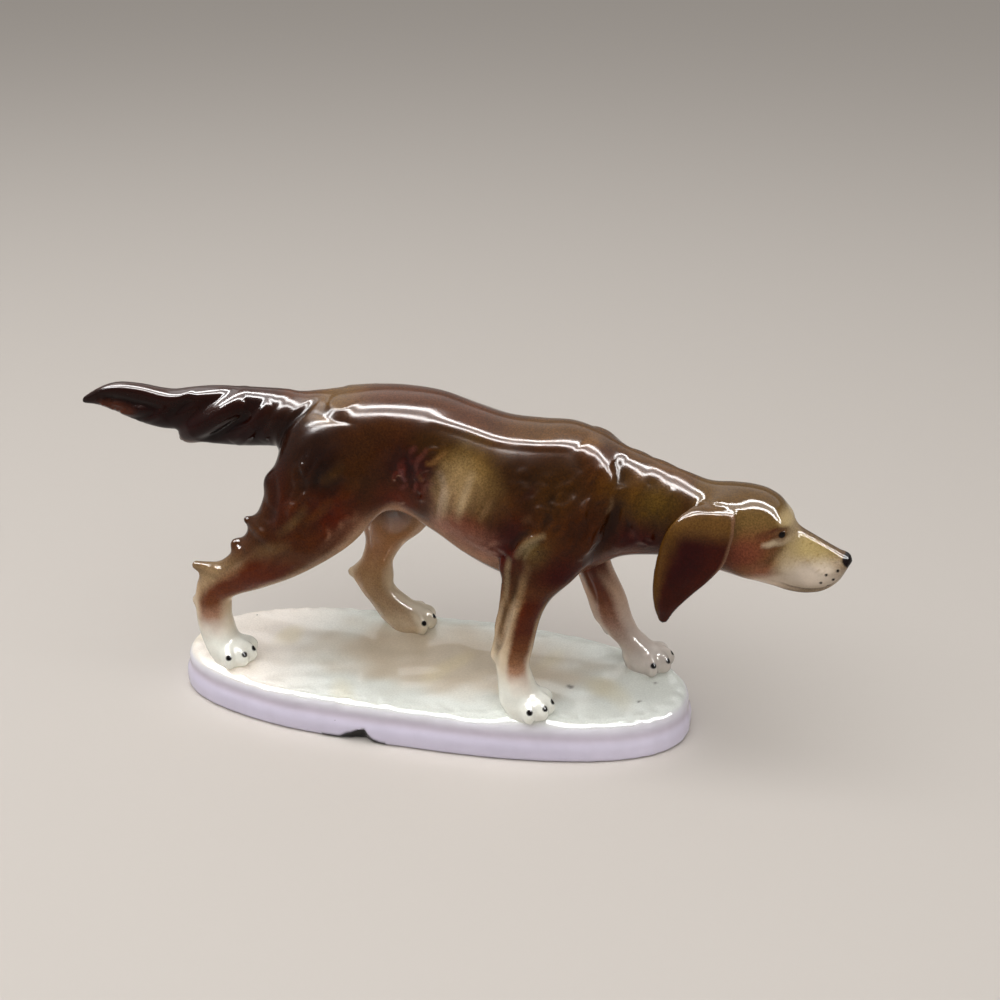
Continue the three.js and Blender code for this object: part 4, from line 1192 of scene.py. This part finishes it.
# Plinth: mm from its middle and from the surface that it stands on
plinth = {
    "half": (82.5, 30.0), "power": 2.45,  # of the oval
    "height": 12.75,                      # of the ground before it rises
    "cell": 0.6,
    # height, inset of the outer side
    "side": [
        (-1, 0.9), (0, 0.5), (0.8, 0.12), (2.5, 0), (4.6, 0.1),
        (6, 0.4), (7.2, 0.8), (8.4, 1), (11, 1.2), (14, 1.7),
    ],
    "crease": {"height": 7.6, "half": 1.7, "depth": 0.4, "fades": (20, 74)},  # fades out to the right end
    "topRound": 3.4, "footRound": 0.9, "hollowInset": 5.2, "ceiling": 9.0, "hollowRound": 3.0,
    "pad": {"reach": (8.6, 6.8), "rise": 0.75, "dip": 0.3},  # the ground round each paw
    "waves": {"top": 0.2, "side": 0.12, "crease": 0.25, "dapple": 0.06},
    "farRise": 0.9,                                          # the ground is higher behind the dog
    "run": {"top": 0.28, "side": 0.08},                      # of the glaze along the rim
    "stains": [((45.2, -4.4), 1.2), ((66.9, -7.9), 0.7), ((70.5, 3.6), 0.6)],  # place, radius
    "chip": {
        "from": -28.0, "long": 19.6, "high": 5.9, "slope": 2.0, "rough": 0.3, "deepest": -18.0,
        "outline": [
            (0, 0), (0.25, 0.32), (0.5, 0.7), (0.61, 0.92),
            (0.73, 1), (0.77, 0.72), (0.84, 0.42), (1.04, 0.12),
        ],
    },
}
a, b = plinth["half"]
ground = Clay((-a - 2, -b - 2, -1.5), (a + 2, b + 2, 16), plinth["cell"])
gx, gy, gz = np.ix_(*ground.axes)
ux, uy = np.abs(gx) / a, np.abs(gy) / b
power = plinth["power"]
q = np.maximum((ux**power + uy**power) ** (1 / power), 0.02)
steep = q ** (1 - power) * np.sqrt((ux ** (power - 1) / a) ** 2 + (uy ** (power - 1) / b) ** 2)
rimGap = (q - 1) / np.maximum(steep, 0.012)
plan = np.stack(np.broadcast_arrays(gx[..., 0], gy[..., 0]), axis=-1).reshape(-1, 2)
lay = np.broadcast_shapes(gx.shape, gy.shape)[:2]


def overPlan(values):
    return values.reshape(lay)[..., None]


wave, dapple, wobble = (overPlan(ripple(plan, size, seed)) for size, seed in ((34, 5), (11, 6), (5.5, 15)))
crease = plinth["crease"]
inset = curveThrough(plinth["side"])(gz)[..., 0]
groove = np.exp(-(((gz - crease["height"] - plinth["waves"]["crease"] * wave) / crease["half"]) ** 2))
inset = inset + crease["depth"] * groove * (1 - 0.8 * soft(gx, *crease["fades"])) * (1 + 0.3 * dapple)
top = plinth["height"] + plinth["waves"]["top"] * wave + plinth["waves"]["dapple"] * dapple
dogX = overPlan(plan[:, 0] * math.cos(heading) + plan[:, 1] * math.sin(heading))
dogY = overPlan(plan[:, 1] * math.cos(heading) - plan[:, 0] * math.sin(heading))
pad = plinth["pad"]
for leg in legs.values():
    gapX, gapY = dogX - leg["paw"], dogY - stance["track"] * leg["side"]
    reach = np.hypot(gapX / pad["reach"][0], gapY / pad["reach"][1])
    top = top + pad["rise"] * np.exp(-np.maximum(reach - 0.8, 0) * 3.4)
    top = top - pad["dip"] * np.exp(-((reach - 1.9) ** 2) * 3)
top = top + plinth["farRise"] * soft(gy / b, 0.35, 0.8) * (1 + 0.4 * wave)
wobble = wobble * soft(rimGap, -9, -3)  # only near the rim
side = rimGap + inset + plinth["waves"]["side"] * wave + plinth["run"]["side"] * wobble
body = smoothMax(side, gz - top - plinth["run"]["top"] * wobble, plinth["topRound"])
body = smoothMax(body, -gz, plinth["footRound"])
hollow = smoothMax(rimGap + plinth["hollowInset"], gz - plinth["ceiling"], plinth["hollowRound"])
body = smoothMax(body, -hollow, plinth["footRound"])
chip = plinth["chip"]
along, rise = np.array(chip["outline"]).T
edge = np.interp(gx, chip["from"] + along * chip["long"], rise * chip["high"], left=-3, right=-3)
rough = chip["rough"] * overPlan(ripple(plan, 2.4, 8))
slant = np.abs(np.gradient(edge[:, 0, 0], plinth["cell"]))[:, None, None]
chipGap = (gz - edge - rough + chip["slope"] * (gy + b)) / np.sqrt(1 + chip["slope"] ** 2 + slant**2)
chipGap = np.maximum(chipGap, gy - chip["deepest"])
body = np.maximum(body, -chipGap)
ground.field = body.astype(np.float32)
points, quads = ground.skin(3, 0.25)
work = bpy.data.meshes.new("work")
work.from_pydata(points.tolist(), [], quads.tolist())
normals = pull(work.vertex_normals, "vector", 3)
bpy.data.meshes.remove(work)
px, py, pz = points.T
spots = points[:, :2]
paint = np.tile(glaze(205, 199, 217), (len(points), 1))
# the side lighter towards the right end: painted light
spray(soft(px, 36, 80), (224, 218, 236), 0.9)
spray(soft(pz, 7, 12.5), (226, 226, 226), 0.7)
cloud = ripple(spots, 15, 9)
onTop = soft(normals[:, 2], 0.4, 0.98) * soft(pz, 9.5, 12)
spray(onTop, (221, 225, 217), 0.95)
# the top whiter at its left end: painted light
spray(onTop * (1 - soft(px, -60, -25)), (248, 238, 227), 0.9)
# darker beige in the middle of the top, under the dog: partly a glaze wash, partly the dog's painted
# shadow
inner = 1 - soft(np.hypot((px - 6) / 60, (py - 3) / 25) + 0.1 * cloud, 0.4, 1.0)
spray(onTop * inner, (198, 180, 154), 0.8)
spray(onTop * inner * soft(ripple(spots, 21, 10), -0.2, 0.9), (184, 166, 138), 0.4)
spray(onTop * soft(ripple(spots, 27, 12), 0.3, 1.0), (222, 206, 156), 0.35)
# a darker band along the crease of the side: painted shade
spray(np.exp(-(((pz - 7.7) / 1.4) ** 2)) * (normals[:, 2] < 0.9), (186, 172, 180), 0.4)
for (sx, sy), size in plinth["stains"]:
    gap = np.hypot(px - sx, py - sy) * (1 + 0.3 * ripple(spots, 2, 18))
    spray((1 - soft(gap, 0.4 * size, 1.3 * size)) * onTop, (96, 92, 86), 0.75)
# the chip's downward-facing break painted near black: painted shade of the hollow behind it
chipShade = 1 - soft(np.abs(ground.sample(points, chipGap.astype(np.float32))), 0.8, 1.6)
spray(chipShade * soft(-normals[:, 2], 0.0, 0.4), (20, 18, 17))
# the inside of the hollow painted dark: painted shade
inside = (np.abs(px / a) ** power + np.abs(py / b) ** power < 0.82) & (pz < 9.6)
spray(inside * 1.0, (44, 40, 36), 0.95)
footAt = np.array([standAt[0], standAt[1], plinthLow.z])
newPiece("plinth", slots["plinth"], points * mm + footAt, quads.tolist(), normals, paint, onTop, False)
print("plinth made:", len(quads), "faces")

# Floor, lamps and camera
floorMesh = bpy.data.meshes.new("floor")
floorMesh.from_pydata([(-4, -4, 0), (4, -4, 0), (4, 4, 0), (-4, 4, 0)], [], [(0, 1, 2, 3)])
floor = bpy.data.objects.new("floor", floorMesh)
bpy.context.scene.collection.objects.link(floor)
floorPaint = bpy.data.materials.new("floorPaint")
floorPaint.use_nodes = True
floorShader = floorPaint.node_tree.nodes["Principled BSDF"]
floorShader.inputs["Base Color"].default_value = (0.57, 0.53, 0.49, 1)
floorShader.inputs["Roughness"].default_value = 0.7
floorShader.inputs["Specular IOR Level"].default_value = 0.0
floorMesh.materials.append(floorPaint)

lamps = {
    # place, aim and size in m, power in W; the soft box lights the room, the others show only in the glaze
    "softBox": dict(at=(-0.2, -0.3, 0.95), aim=(-0.2, 0, 0.06), size=(1.3, 1.0), power=10.5, seen=False),
    "overhead": dict(at=(0.05, 0.02, 0.9), aim=(0.05, 0, 0.06), size=(3.6, 0.11), power=160.0, seen=True),
    "front": dict(at=(0.05, -0.36, 0.88), aim=(0.05, 0, 0.06), size=(3.6, 0.11), power=160.0, seen=True),
    "between": dict(at=(0.05, -0.17, 0.96), aim=(0.05, 0, 0.06), size=(3.6, 0.34), power=50.0, seen=True),
    "backdrop": dict(at=(0.05, 0.42, 0.86), aim=(0.05, 0, 0.06), size=(2.2, 1.0), power=16.0, seen=True),
    "window": dict(at=(-1.1, 0.3, 1.0), aim=(0, 0, 0.06), size=(0.7, 0.6), power=7.0, seen=True),
}
for name, lamp in lamps.items():
    light = bpy.data.lights.new(name, "AREA")
    light.shape = "RECTANGLE"
    light.size, light.size_y = lamp["size"]
    light.energy = lamp["power"]
    holder = bpy.data.objects.new(name, light)
    bpy.context.scene.collection.objects.link(holder)
    holder.visible_glossy = lamp["seen"]
    holder.visible_diffuse = not lamp["seen"]
    holder.location = lamp["at"]
    holder.rotation_euler = (Vector(lamp["aim"]) - holder.location).to_track_quat("-Z", "Y").to_euler()
world = bpy.data.worlds.new("room")
bpy.context.scene.world = world
world.use_nodes = True
air = world.node_tree.nodes["Background"]
air.inputs["Color"].default_value = (0.95, 0.93, 0.91, 1)
air.inputs["Strength"].default_value = 0.5

# mm from the middle of the plinth's foot
view = {"target": (21.95, 0.0, 72.26), "from": (105.15, -365.48, 252.32), "lens": 50.4}
cameraData = bpy.data.cameras.new("camera")
cameraData.lens = view["lens"]
cameraData.sensor_width = 36
camera = bpy.data.objects.new("camera", cameraData)
bpy.context.scene.collection.objects.link(camera)
camera.location = Vector(footAt) + Vector(view["from"]) * mm
look = Vector(view["target"]) * mm - Vector(view["from"]) * mm
camera.rotation_euler = look.to_track_quat("-Z", "Y").to_euler()
bpy.context.scene.camera = camera
bpy.context.scene.view_settings.view_transform = "Standard"
print("stage set")
